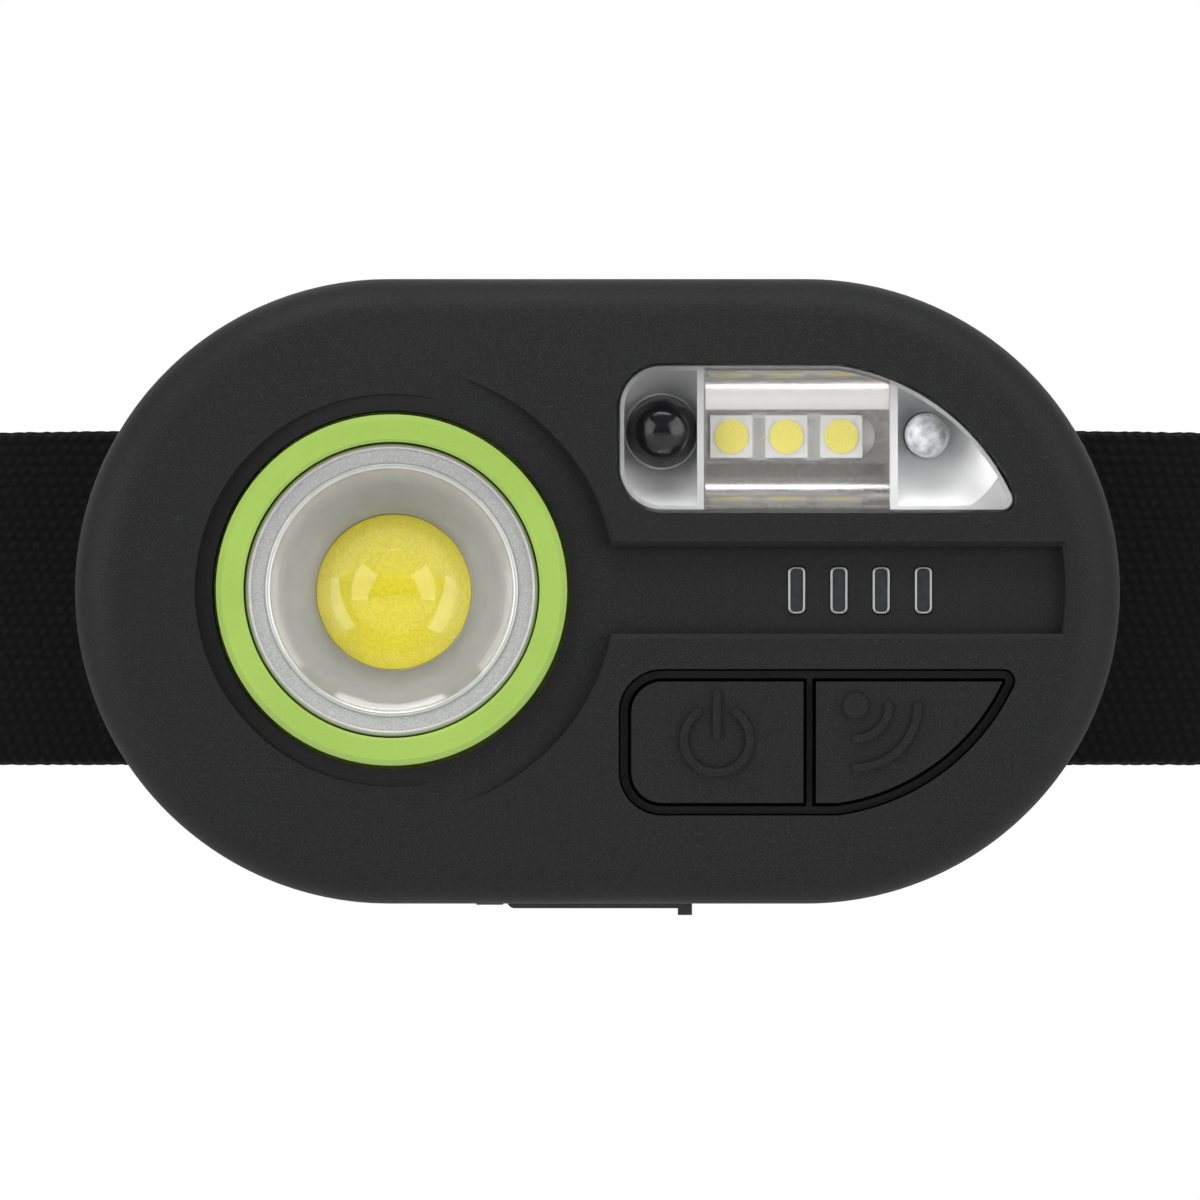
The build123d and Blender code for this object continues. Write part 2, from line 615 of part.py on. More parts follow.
with BuildPart() as flood_window:
    with BuildSketch(front_plane(WINDOW_BACK_H)):
        panel_outline(1)
    extrude(amount=FRONT_H - WINDOW_BACK_H)
    crown(-WINDOW_RECESS)
    with BuildSketch(front_plane(WINDOW_BACK_H)):
        panel_outline(1, -PANEL_FLANGE)
    extrude(amount=PANEL_FLANGE_THICKNESS)
    with BuildSketch(front_plane(WINDOW_BACK_H)):
        panel_outline(1, WINDOW_RIM)
    extrude(amount=WINDOW_THICKNESS, mode=Mode.SUBTRACT)
finish(flood_window, "flood_window")

flood_back_h = BOARD_TOP_H + PIPE_FIT
flood_height = WINDOW_BACK_H - PIPE_FIT - flood_back_h


def flood_mask(left_x, right_x):
    """The plan of one cell of the flood reflector, between its two dividers, in the open sketch."""
    with BuildSketch(mode=Mode.PRIVATE) as plan:
        panel_outline(1, WINDOW_RIM)
        with Locations(((left_x + right_x) / 2, FLOOD_LED_Z)):
            Rectangle(right_x - left_x - FLOOD_DIVIDER, BODY_HEIGHT, mode=Mode.INTERSECT)
    add(plan.sketch)


def flood_cup(left_x, right_x, place, radius):
    """The hollow of an end cell, flared from the round hole of its infrared part."""
    with BuildPart(mode=Mode.PRIVATE) as cup:
        with BuildSketch(front_plane(flood_back_h)):
            with Locations(place):
                Circle(radius + FLOOD_FIT)
        extrude(amount=flood_height, taper=-FLOOD_FLARE_DEG)
        with BuildSketch(front_plane(flood_back_h)):
            flood_mask(left_x, right_x)
        extrude(amount=flood_height, mode=Mode.INTERSECT)
    return cup.part


def flood_trough(left_x, right_x):
    """The hollow of the middle cell: bowed walls that rise from the emitters' slot to the window."""
    floor_y = -flood_back_h - TROUGH_FLOOR
    top_y = -flood_back_h - flood_height
    with BuildPart(mode=Mode.PRIVATE) as trough:
        with BuildSketch(Plane.YZ.offset(left_x)):
            with BuildLine():
                low = Line((floor_y, FLOOD_LED_Z - TROUGH_HALF), (floor_y, FLOOD_LED_Z + TROUGH_HALF))
                high = Line((top_y, FLOOD_LED_Z - TROUGH_TOP_HALF), (top_y, FLOOD_LED_Z + TROUGH_TOP_HALF))
                for end in (0, 1):
                    middle = (low @ end + high @ end) / 2
                    outward = (high @ end - low @ end).normalized().rotate(Axis.Z, -90 if end else 90)
                    ThreePointArc(low @ end, middle + TROUGH_BOW * outward, high @ end)
            make_face()
        extrude(amount=right_x - left_x)
        with BuildSketch(front_plane(flood_back_h)):
            slot_right = FLOOD_LED_X + FLOOD_LED_PITCH + FLOOD_LED_SIZE / 2 + SLOT_END
            slot_left = FLOOD_LED_X - FLOOD_LED_PITCH - FLOOD_LED_SIZE / 2 - FLOOD_FIT
            with Locations((slot_right - FLOOD_LED_SIZE - 2 * FLOOD_LED_PITCH, FLOOD_LED_Z)):
                slot_half = FLOOD_LED_SIZE + 2 * FLOOD_LED_PITCH
                SlotOverall(2 * slot_half, FLOOD_LED_SIZE + 2 * FLOOD_FIT)
            with Locations((slot_left, FLOOD_LED_Z)):
                align_left = (Align.MIN, Align.CENTER)
                Rectangle(2 * slot_half, 2 * FLOOD_LED_SIZE, align=align_left, mode=Mode.INTERSECT)
        extrude(amount=flood_height)
        with BuildSketch(front_plane(flood_back_h)):
            flood_mask(left_x, right_x)
        extrude(amount=flood_height, mode=Mode.INTERSECT)
    return trough.part


flood_hollows = [
    flood_cup(PANEL_LEFT_X, FLOOD_LEFT_DIVIDER_X, IR_RECEIVER_PLACE, IR_RECEIVER_RADIUS),
    flood_trough(FLOOD_LEFT_DIVIDER_X, FLOOD_RIGHT_DIVIDER_X),
    flood_cup(FLOOD_RIGHT_DIVIDER_X, END_X + PANEL_END_RADIUS, IR_EMITTER_PLACE, IR_EMITTER_RADIUS),
]
with BuildPart() as flood_reflector:
    with BuildSketch(front_plane(flood_back_h)):
        panel_outline(1, WINDOW_RIM - FLOOD_WALL)
    extrude(amount=flood_height)
    for hollow in flood_hollows:
        add(hollow, mode=Mode.SUBTRACT)
finish(flood_reflector, "flood_reflector")

with BuildPart() as flood_leds:
    with BuildSketch(front_plane(BOARD_TOP_H)):
        with Locations((FLOOD_LED_X, FLOOD_LED_Z)):
            with GridLocations(FLOOD_LED_PITCH, 0, 3, 1):
                Rectangle(FLOOD_LED_SIZE, FLOOD_LED_SIZE)
    extrude(amount=FLOOD_LED_THICKNESS)
finish(flood_leds, "flood_leds")

with BuildPart() as flood_phosphors:
    with BuildSketch(front_plane(BOARD_TOP_H + FLOOD_LED_THICKNESS)):
        with Locations((FLOOD_LED_X, FLOOD_LED_Z)):
            with GridLocations(FLOOD_LED_PITCH, 0, 3, 1):
                Circle(FLOOD_PHOSPHOR_RADIUS)
    extrude(amount=FLOOD_PHOSPHOR_THICKNESS)
finish(flood_phosphors, "flood_phosphors")


def domed_lamp(place, radius):
    """A flanged cylinder with a domed top, standing through the board, in the open part."""
    with BuildSketch(front_plane(IR_BACK_H)) as foot:
        with Locations(place):
            Circle(radius + IR_FLANGE)
    extrude(foot.sketch, amount=BOARD_BACK_H - IR_BACK_H - PIPE_FIT)
    with BuildSketch(front_plane(IR_BACK_H)) as barrel:
        with Locations(place):
            Circle(radius)
    extrude(barrel.sketch, amount=IR_TOP_H - radius - IR_BACK_H)
    with Locations((place[0], radius - IR_TOP_H, place[1])):
        Sphere(radius)


with BuildPart() as ir_receiver:
    domed_lamp(IR_RECEIVER_PLACE, IR_RECEIVER_RADIUS)
finish(ir_receiver, "ir_receiver")

with BuildPart() as ir_emitter:
    domed_lamp(IR_EMITTER_PLACE, IR_EMITTER_RADIUS)
finish(ir_emitter, "ir_emitter")

# ---- Boards, switches and indicators ----

power_switch_place = (POWER_ICON[0], POWER_ICON[1])
sensor_switch_place = (2 * BUTTON_SPLIT_X - POWER_ICON[0], POWER_ICON[1])

with BuildPart() as main_board:
    with BuildSketch(front_plane(BOARD_BACK_H)):
        body_outline(WALL + BOARD_EDGE_GAP)
        with Locations((BODY_WIDTH / 2, 0)):
            Rectangle(BODY_WIDTH, BODY_HEIGHT, mode=Mode.INTERSECT)
        with Locations((LENS_X, 0)):
            Circle(TUBE_INNER + TUBE_WALL + BOARD_EDGE_GAP, mode=Mode.SUBTRACT)
        with Locations(*SCREW_PLACES):
            Circle(BOSS_RADIUS + FLOOD_FIT, mode=Mode.SUBTRACT)
        with Locations(IR_RECEIVER_PLACE):
            Circle(IR_RECEIVER_RADIUS + PIPE_FIT, mode=Mode.SUBTRACT)
        with Locations(IR_EMITTER_PLACE):
            Circle(IR_EMITTER_RADIUS + PIPE_FIT, mode=Mode.SUBTRACT)
    extrude(amount=BOARD_THICKNESS)
finish(main_board, "main_board")

with BuildPart() as indicator_leds:
    with BuildSketch(front_plane(BOARD_TOP_H)):
        with Locations((LIGHT_PIPE_X, 0)):
            with GridLocations(LIGHT_PIPE_PITCH, 0, LIGHT_PIPE_COUNT, 1):
                Rectangle(LIGHT_PIPE_WIDTH, LIGHT_PIPE_HEIGHT / 2)
    extrude(amount=INDICATOR_LED_HEIGHT)
finish(indicator_leds, "indicator_leds")

with BuildPart() as light_pipes:
    with BuildSketch(front_plane(BOARD_TOP_H + INDICATOR_LED_HEIGHT + PIPE_FIT)):
        with Locations((LIGHT_PIPE_X, 0)):
            with GridLocations(LIGHT_PIPE_PITCH, 0, LIGHT_PIPE_COUNT, 1):
                RectangleRounded(LIGHT_PIPE_WIDTH, LIGHT_PIPE_HEIGHT, LIGHT_PIPE_CORNER)
    extrude(amount=VALLEY_H - BOARD_TOP_H - INDICATOR_LED_HEIGHT)
    with BuildSketch(front_plane(FRONT_INNER_H - PIPE_FIT)):
        with Locations((LIGHT_PIPE_X, 0)):
            Rectangle(LIGHT_PIPE_PITCH * LIGHT_PIPE_COUNT, LIGHT_PIPE_HEIGHT + LIGHT_PIPE_BAR)
    extrude(amount=-LIGHT_PIPE_BAR)
finish(light_pipes, "light_pipes")


def switch_body(place):
    """A tactile switch housing on the board, bored for its plunger, in the open part."""
    with BuildSketch(front_plane(BOARD_TOP_H)) as housing:
        with Locations(place):
            RectangleRounded(SWITCH_SIZE, SWITCH_SIZE, SWITCH_SIZE / 10)
    extrude(housing.sketch, amount=SWITCH_HEIGHT)
    with BuildSketch(front_plane(BOARD_TOP_H + PIPE_FIT)) as bore:
        with Locations(place):
            Circle(PLUNGER_RADIUS + PLUNGER_FIT)
    extrude(bore.sketch, amount=SWITCH_HEIGHT, mode=Mode.SUBTRACT)


def switch_plunger(place):
    """The moving plunger of a tactile switch, in the open part."""
    with BuildSketch(front_plane(BOARD_TOP_H + BUTTON_TRAVEL + 2 * PIPE_FIT)) as tip:
        with Locations(place):
            Circle(PLUNGER_RADIUS)
    extrude(tip.sketch, amount=PLUNGER_TOP_H - BOARD_TOP_H - BUTTON_TRAVEL - 2 * PIPE_FIT)


with BuildPart() as power_switch:
    switch_body(power_switch_place)
finish(power_switch, "power_switch")

with BuildPart() as sensor_switch:
    switch_body(sensor_switch_place)
finish(sensor_switch, "sensor_switch")

with BuildPart() as power_switch_plunger:
    switch_plunger(power_switch_place)
finish(power_switch_plunger, "power_switch_plunger")

with BuildPart() as sensor_switch_plunger:
    switch_plunger(sensor_switch_place)
finish(sensor_switch_plunger, "sensor_switch_plunger")

# ---- Buttons and keypad frame ----


def button_outline(side, spread=0.0):
    """The plan of the left (-1) or right (1) button cap, grown by spread, in the open sketch."""
    with BuildSketch(mode=Mode.PRIVATE) as cap:
        panel_outline(-1, GROOVE_WIDTH - spread)
        with Locations((BUTTON_SPLIT_X + side * (GROOVE_WIDTH / 2 - spread), 0)):
            align_x = Align.MIN if side > 0 else Align.MAX
            Rectangle(BODY_WIDTH, 2 * BODY_HEIGHT, align=(align_x, Align.CENTER), mode=Mode.INTERSECT)
    add(cap.sketch)


def button_cap(side):
    """A button cap with its rear flange, in the open part, its face following the crown."""
    with BuildSketch(front_plane(BUTTON_BACK_H)) as face:
        button_outline(side)
    extrude(face.sketch, amount=FRONT_H - BUTTON_BACK_H)
    crown()
    with BuildSketch(front_plane(BUTTON_BACK_H)) as rear_flange:
        button_outline(side, BUTTON_FLANGE - PIPE_FIT)
    extrude(rear_flange.sketch, amount=BUTTON_FLANGE_THICKNESS)


def icon_arc(centre, radius, start_deg, size_deg):
    """A round-ended arc of the icon line width, in the open sketch."""
    with BuildSketch(mode=Mode.PRIVATE) as stroke:
        SlotArc(CenterArc(centre, radius, start_deg, size_deg, mode=Mode.PRIVATE), ICON_LINE)
    add(stroke.sketch)


with BuildPart() as power_icon:
    with BuildSketch(front_plane(KEYPAD_BACK_H)):
        icon_arc(
            POWER_ICON, POWER_ICON_RADIUS, 90 + POWER_ICON_GAP_DEG / 2, 360 - POWER_ICON_GAP_DEG
        )
        with Locations((POWER_ICON[0], POWER_ICON[1] + POWER_ICON_BAR / 2)):
            SlotOverall(POWER_ICON_BAR, ICON_LINE, rotation=90)
    extrude(amount=FRONT_H + ICON_RISE - KEYPAD_BACK_H)
    crown(ICON_RISE)

with BuildPart() as wave_icon:
    with BuildSketch(front_plane(KEYPAD_BACK_H)):
        with Locations(WAVE_ICON):
            Circle(WAVE_DOT_RADIUS)
        for wave_radius in WAVE_RADII:
            icon_arc(WAVE_ICON, wave_radius, -90, 90)
    extrude(amount=FRONT_H + ICON_RISE - KEYPAD_BACK_H)
    crown(ICON_RISE)

with BuildPart() as power_button:
    button_cap(-1)
    add(power_icon.part)
finish(power_button, "power_button")

with BuildPart() as sensor_button:
    button_cap(1)
    add(wave_icon.part)
finish(sensor_button, "sensor_button")

with BuildPart() as keypad_frame:
    with BuildSketch(front_plane(KEYPAD_BACK_H)):
        panel_outline(-1, -PANEL_FLANGE)
        for side in (-1, 1):
            with BuildSketch(mode=Mode.PRIVATE) as cap_hole:
                button_outline(side, KEYPAD_FIT)
            add(cap_hole.sketch, mode=Mode.SUBTRACT)
    extrude(amount=KEYPAD_THICKNESS)
    # A lip stands in the groove between the caps and the shell
    with BuildSketch(front_plane(KEYPAD_BACK_H)):
        panel_outline(-1, KEYPAD_FIT / 2)
        for side in (-1, 1):
            with BuildSketch(mode=Mode.PRIVATE) as cap_hole:
                button_outline(side, KEYPAD_FIT)
            add(cap_hole.sketch, mode=Mode.SUBTRACT)
    extrude(amount=FRONT_H - KEYPAD_BACK_H)
    crown(-KEYPAD_LIP_DEPTH)
finish(keypad_frame, "keypad_frame")

# ---- Battery and charging port ----

with BuildPart() as battery:
    with BuildSketch(front_plane(BATTERY_BACK_H)):
        with Locations((0, BATTERY_Z)):
            RectangleRounded(BATTERY_WIDTH, BATTERY_HEIGHT, BATTERY_EDGE)
    extrude(amount=BATTERY_THICKNESS)
finish(battery, "battery")

with BuildPart() as battery_tape:
    with BuildSketch(front_plane(REAR_H + WALL)):
        with Locations((0, BATTERY_Z)):
            Rectangle(*TAPE_SIZE)
    extrude(amount=BATTERY_BACK_H - REAR_H - WALL)
finish(battery_tape, "battery_tape")

usb_mouth_z = BOTTOM_Z + USB_MOUTH_DEPTH
charge_board_back_h = USB_H + USB_THICKNESS / 2 + PIPE_FIT
battery_low_z = BATTERY_Z - BATTERY_HEIGHT / 2
charge_board_top_z = battery_low_z - USB_BACK
with BuildPart() as usb_receptacle:
    with BuildSketch(Plane.XY.offset(usb_mouth_z)):
        with Locations((0, -USB_H)):
            SlotOverall(USB_WIDTH, USB_THICKNESS)
    extrude(amount=USB_LENGTH)
    with BuildSketch(Plane.XY.offset(usb_mouth_z)):
        with Locations((0, -USB_H)):
            SlotOverall(USB_WIDTH - 2 * USB_METAL, USB_THICKNESS - 2 * USB_METAL)
    extrude(amount=USB_LENGTH - USB_BACK, mode=Mode.SUBTRACT)
    with BuildSketch(Plane.XY.offset(usb_mouth_z + USB_BACK)):
        with Locations((0, -USB_H)):
            Rectangle(*USB_TONGUE)
    extrude(amount=USB_LENGTH - USB_BACK - USB_TONGUE_SHORT)
finish(usb_receptacle, "usb_receptacle")

with BuildPart() as charge_board:
    with BuildSketch(front_plane(charge_board_back_h)):
        with Locations((CHARGE_BOARD_X, charge_board_top_z)):
            board_height = charge_board_top_z - BOTTOM_Z - WALL - PIPE_FIT
            Rectangle(CHARGE_BOARD_WIDTH, board_height, align=(Align.CENTER, Align.MAX))
    extrude(amount=CHARGE_BOARD_THICKNESS)
finish(charge_board, "charge_board")

with BuildPart() as board_connector:
    with BuildSketch(front_plane(charge_board_back_h + CHARGE_BOARD_THICKNESS)):
        with Locations((CONNECTOR_X, charge_board_top_z - CONNECTOR_DROP)):
            Rectangle(*CONNECTOR_SIZE)
    extrude(amount=BOARD_BACK_H - charge_board_back_h - CHARGE_BOARD_THICKNESS)
finish(board_connector, "board_connector")

with BuildPart() as battery_leads:
    lead_h = BATTERY_BACK_H + BATTERY_THICKNESS / 2
    lead_low_z = battery_low_z - LEAD_DROP
    for lead_x in LEAD_X:
        with BuildLine() as lead_route:
            FilletPolyline(
                (lead_x, -lead_h, battery_low_z),
                (lead_x, -lead_h, lead_low_z),
                (lead_x, -charge_board_back_h, lead_low_z),
                radius=LEAD_BEND,
            )
        with BuildSketch(Plane(origin=lead_route.line @ 0, z_dir=lead_route.line % 0)):
            Circle(LEAD_RADIUS)
        sweep()
finish(battery_leads, "battery_leads")

with BuildPart() as usb_cover:
    with BuildSketch(Plane.XZ.offset(USB_H - COVER_WIDTH / 2)):
        with Locations((COVER_AXIS_X, COVER_AXIS_Z)):
            Circle(COVER_BARREL)
            Rectangle(COVER_LENGTH - COVER_BARREL, COVER_THICKNESS, align=(Align.MIN, Align.CENTER))
    extrude(amount=COVER_WIDTH)
    with BuildSketch(Plane.XY.offset(COVER_TOP_Z)):
        with Locations((0, -USB_H)):
            SlotOverall(USB_WIDTH - 2 * COVER_GAP, USB_THICKNESS - 2 * COVER_GAP)
    extrude(amount=COVER_PLUG_DEPTH)
    with BuildSketch(Plane.XY.offset(COVER_TOP_Z - COVER_THICKNESS)):
        with Locations((COVER_LENGTH / 2 - COVER_TAB[0] / 2 + COVER_GAP, -USB_H)):
            Rectangle(*COVER_TAB)
    extrude(amount=-COVER_TAB_DROP)
    with BuildSketch(Plane.XY.offset(COVER_TOP_Z - COVER_THICKNESS)):
        with Locations((COVER_LENGTH / 2 + COVER_GAP / 2, -USB_H)):
            Rectangle(COVER_GAP, COVER_TAB[1])
    extrude(amount=COVER_PROUD - PIPE_FIT)
finish(usb_cover, "usb_cover")

with BuildPart() as usb_cover_anchor:
    anchor_x = -COVER_LENGTH / 2 - COVER_GAP - ANCHOR_LENGTH / 2
    with BuildSketch(Plane.XY.offset(COVER_RECESS_Z - PIPE_FIT)):
        with Locations((anchor_x, -USB_H)):
            Rectangle(ANCHOR_LENGTH, COVER_WIDTH)
    extrude(amount=-COVER_THICKNESS)
    with BuildSketch(Plane.XY.offset(COVER_RECESS_Z - PIPE_FIT)):
        with Locations((anchor_x, -USB_H)):
            Circle(ANCHOR_PEG_RADIUS)
    extrude(amount=WALL)
finish(usb_cover_anchor, "usb_cover_anchor")

# ---- Bracket, hinge pin and forehead pad ----

with BuildPart() as plate_mask:
    with BuildSketch(front_plane(-PAD_RADIUS / 4)):
        RectangleRounded(PLATE_SIZE[0], PLATE_SIZE[1], PLATE_CORNER)
        with Locations((0, HINGE_LOW_Z)):
            Rectangle(TONGUE_WIDTH, -HINGE_LOW_Z, align=(Align.CENTER, Align.MIN))
    extrude(amount=PAD_RADIUS / 2)

with BuildPart() as keeper_mask:
    with BuildSketch(front_plane(-PAD_RADIUS / 4)):
        with Locations((-KEEPER_X, 0), (KEEPER_X, 0)):
            Rectangle(KEEPER_WIDTH, PLATE_SIZE[1])
    extrude(amount=PAD_RADIUS / 2)

with BuildPart() as post_mask:
    with BuildSketch(front_plane(-PAD_RADIUS / 4)):
        with Locations((-KEEPER_X, 0), (KEEPER_X, 0)):
            Rectangle(KEEPER_WIDTH, PLATE_SIZE[1])
            Rectangle(KEEPER_WIDTH, STRAP_WIDTH + 2 * STRAP_EDGE_GAP, mode=Mode.SUBTRACT)
    extrude(amount=PAD_RADIUS / 2)

with BuildPart() as keeper_bars:
    layer_ring(PAD_RADIUS + PAD_THICKNESS + LAYER_GAP, STRAP_INNER_R - LAYER_GAP)
    add(keeper_mask.part, mode=Mode.INTERSECT)

with BuildPart() as keeper_posts:
    layer_ring(PAD_RADIUS + PAD_THICKNESS + LAYER_GAP, PLATE_OUTER_R)
    add(post_mask.part, mode=Mode.INTERSECT)

with BuildPart() as bracket:
    layer_ring(PLATE_INNER_R, PLATE_OUTER_R)
    add(plate_mask.part, mode=Mode.INTERSECT)
    add(keeper_bars.part)
    add(keeper_posts.part)
    # Two ears reach forward to the hinge pin
    for side in (-1, 1):
        ear_x = side * (KNUCKLE_HALF + EAR_GAP)
        with BuildSketch(Plane.YZ.offset(ear_x)):
            with Locations((-HINGE_H, HINGE_Z)):
                Circle(HINGE_RADIUS)
                Rectangle(
                    HINGE_H - (PLATE_INNER_R - PAD_RADIUS),
                    2 * HINGE_RADIUS,
                    align=(Align.MIN, Align.CENTER),
                )
        extrude(amount=side * EAR_WIDTH)
        with BuildSketch(Plane.YZ.offset(ear_x)):
            with Locations((-HINGE_H, HINGE_Z)):
                Circle(PIN_RADIUS + PIN_SEAT_FIT)
        extrude(amount=side * EAR_WIDTH, mode=Mode.SUBTRACT)
finish(bracket, "bracket")

with BuildPart() as hinge_pin:
    with BuildSketch(Plane.YZ):
        with Locations((-HINGE_H, HINGE_Z)):
            Circle(PIN_RADIUS)
    extrude(amount=KNUCKLE_HALF + EAR_GAP + EAR_WIDTH + PIN_OVERHANG, both=True)
finish(hinge_pin, "hinge_pin")

with BuildPart() as forehead_pad:
    layer_ring(PAD_RADIUS, PAD_RADIUS + PAD_THICKNESS)
    with BuildSketch(front_plane(-PAD_RADIUS / 4)):
        RectangleRounded(PAD_SIZE[0], PAD_SIZE[1], PAD_CORNER)
    extrude(amount=PAD_RADIUS / 2, mode=Mode.INTERSECT)
finish(forehead_pad, "forehead_pad")

# ---- Headband, its tail and the adjuster ----

turn_1 = FRONT_TURN
turn_2 = turn_1 + TEMPLE_TURN
turn_3 = turn_2 + SIDE_TURN
turn_4 = turn_3 + REAR_TURN


def sine(degrees):
    """The sine of an angle in degrees."""
    return sin(radians(degrees))


temple_end_x = STRAP_MID_R * sine(turn_1) + TEMPLE_RADIUS * (sine(turn_2) - sine(turn_1))
side_end_x = temple_end_x + SIDE_RADIUS * (sine(turn_3) - sine(turn_2))
# The loop closes at the back when the rear corner takes up what is left of the half width
REAR_RADIUS = (side_end_x - BACK_RADIUS * sine(turn_4)) / (sine(turn_3) - sine(turn_4))
LOOP_ARCS = [
    (STRAP_MID_R, FRONT_TURN),
    (TEMPLE_RADIUS, TEMPLE_TURN),
    (SIDE_RADIUS, SIDE_TURN),
    (REAR_RADIUS, REAR_TURN),
    (BACK_RADIUS, BACK_TURN),
]


def loop_outline(spread, mode=Mode.ADD):
    """The worn loop's plan, moved outward by spread, in the open sketch."""
    with BuildSketch(mode=Mode.PRIVATE) as plan:
        with BuildLine():
            point = (0, PAD_RADIUS - STRAP_MID_R - spread)
            heading = (1, 0)
            for radius, turn in LOOP_ARCS:
                arc = JernArc(point, heading, radius + spread, turn)
                point = arc @ 1
                heading = arc % 1
            mirror(about=Plane.YZ)
        make_face()
    add(plan.sketch, mode=mode)


with BuildPart() as head_strap:
    with BuildSketch(Plane.XY):
        loop_outline(STRAP_THICKNESS / 2)
        loop_outline(-STRAP_THICKNESS / 2, Mode.SUBTRACT)
    extrude(amount=STRAP_WIDTH / 2, both=True)
finish(head_strap, "head_strap")

# Centre of the side arc, about which the adjuster follows the band
temple_end_y = (
    PAD_RADIUS
    - STRAP_MID_R
    + STRAP_MID_R * (1 - cos(radians(turn_1)))
    + TEMPLE_RADIUS * (cos(radians(turn_1)) - cos(radians(turn_2)))
)
SIDE_X = temple_end_x - SIDE_RADIUS * sine(turn_2)
SIDE_Y = temple_end_y + SIDE_RADIUS * cos(radians(turn_2))
BAND_OUTER_R = SIDE_RADIUS + STRAP_THICKNESS / 2
TAIL_INNER_R = BAND_OUTER_R + ADJUSTER_CORE_THICKNESS + 2 * ADJUSTER_GAP
TAIL_OUTER_R = TAIL_INNER_R + STRAP_THICKNESS
SIDE_PLANE = Plane(origin=(SIDE_X, SIDE_Y, 0), x_dir=(1, 0, 0), z_dir=(0, 0, 1))


def side_sector(inner_radius, outer_radius, start_deg, size_deg):
    """A sector of a ring about the side arc's centre, in the open sketch."""
    with BuildSketch(mode=Mode.PRIVATE) as sector:
        with BuildLine():
            inner = CenterArc((0, 0), inner_radius, start_deg, size_deg)
            outer = CenterArc((0, 0), outer_radius, start_deg, size_deg)
            Line(inner @ 0, outer @ 0)
            Line(inner @ 1, outer @ 1)
        make_face()
    add(sector.sketch)


def arc_degrees(length):
    """The angle that a length spans along the side arc."""
    return length / radians(SIDE_RADIUS)


with BuildPart() as strap_tail:
    with BuildSketch(SIDE_PLANE):
        side_sector(TAIL_INNER_R, TAIL_OUTER_R, -TAIL_FRONT_DEG, TAIL_FRONT_DEG + TAIL_REAR_DEG)
        side_sector(BAND_OUTER_R + PIPE_FIT, TAIL_OUTER_R, -TAIL_FRONT_DEG, TAIL_SEAM_DEG)
    extrude(amount=STRAP_WIDTH / 2, both=True)
finish(strap_tail, "strap_tail")

adjuster_inner_r = BAND_OUTER_R + ADJUSTER_GAP
adjuster_outer_r = TAIL_OUTER_R + ADJUSTER_GAP + ADJUSTER_BAR_THICKNESS
with BuildPart() as strap_adjuster:
    half_deg = arc_degrees(ADJUSTER_HALF_LENGTH)
    bar_deg = arc_degrees(ADJUSTER_BAR)
    with BuildSketch(SIDE_PLANE):
        side_sector(adjuster_inner_r, adjuster_outer_r, -half_deg, 2 * half_deg)
    extrude(amount=STRAP_WIDTH / 2 + STRAP_EDGE_GAP + ADJUSTER_RAIL, both=True)
    with BuildSketch(SIDE_PLANE):
        side_sector(adjuster_inner_r - WALL, adjuster_outer_r + WALL, -2 * half_deg, 4 * half_deg)
    extrude(amount=STRAP_WIDTH / 2 + STRAP_EDGE_GAP, both=True, mode=Mode.SUBTRACT)
    with BuildSketch(SIDE_PLANE):
        side_sector(adjuster_inner_r, adjuster_inner_r + ADJUSTER_CORE_THICKNESS, -bar_deg / 2, bar_deg)
        side_sector(TAIL_OUTER_R + ADJUSTER_GAP, adjuster_outer_r, -half_deg, bar_deg)
        side_sector(TAIL_OUTER_R + ADJUSTER_GAP, adjuster_outer_r, half_deg - bar_deg, bar_deg)
    extrude(amount=STRAP_WIDTH / 2 + STRAP_EDGE_GAP + ADJUSTER_RAIL, both=True)
finish(strap_adjuster, "strap_adjuster")
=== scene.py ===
import json
import math
import random

import bmesh
import bpy
from bpy.props import FloatProperty, FloatVectorProperty, PointerProperty
from bpy.types import Operator, Panel, PropertyGroup
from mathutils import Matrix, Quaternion, Vector


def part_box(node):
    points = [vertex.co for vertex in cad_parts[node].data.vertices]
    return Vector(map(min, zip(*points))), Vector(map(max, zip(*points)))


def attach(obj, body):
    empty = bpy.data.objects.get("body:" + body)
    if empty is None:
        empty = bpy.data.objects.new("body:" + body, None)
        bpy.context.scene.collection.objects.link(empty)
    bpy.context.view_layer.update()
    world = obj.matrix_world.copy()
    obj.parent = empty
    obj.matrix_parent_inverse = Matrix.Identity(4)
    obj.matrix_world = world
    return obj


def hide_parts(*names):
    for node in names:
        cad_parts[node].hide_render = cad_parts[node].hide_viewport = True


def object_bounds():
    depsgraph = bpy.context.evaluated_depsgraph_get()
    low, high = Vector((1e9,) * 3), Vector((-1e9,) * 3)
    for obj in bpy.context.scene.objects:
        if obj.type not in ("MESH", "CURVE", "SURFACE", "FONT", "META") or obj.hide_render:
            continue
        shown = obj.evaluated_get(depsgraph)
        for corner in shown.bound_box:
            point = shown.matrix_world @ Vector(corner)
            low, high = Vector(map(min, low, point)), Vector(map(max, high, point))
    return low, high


bl_info = {
    "name": "Headlamp Finishes",
    "version": (1, 0, 0),
    "blender": (4, 5, 0),
    "location": "View3D > Sidebar > Headlamp",
    "description": "Webbing, padding and surface finishes for a tilting headlamp",
    "category": "Object",
}

MM = 0.001

SEAL_BLACK = (0.012, 0.012, 0.012)
PALE_COPPER = (0.6, 0.5, 0.3)
GLASS_IOR = 1.46
ACRYLIC_IOR = 1.49

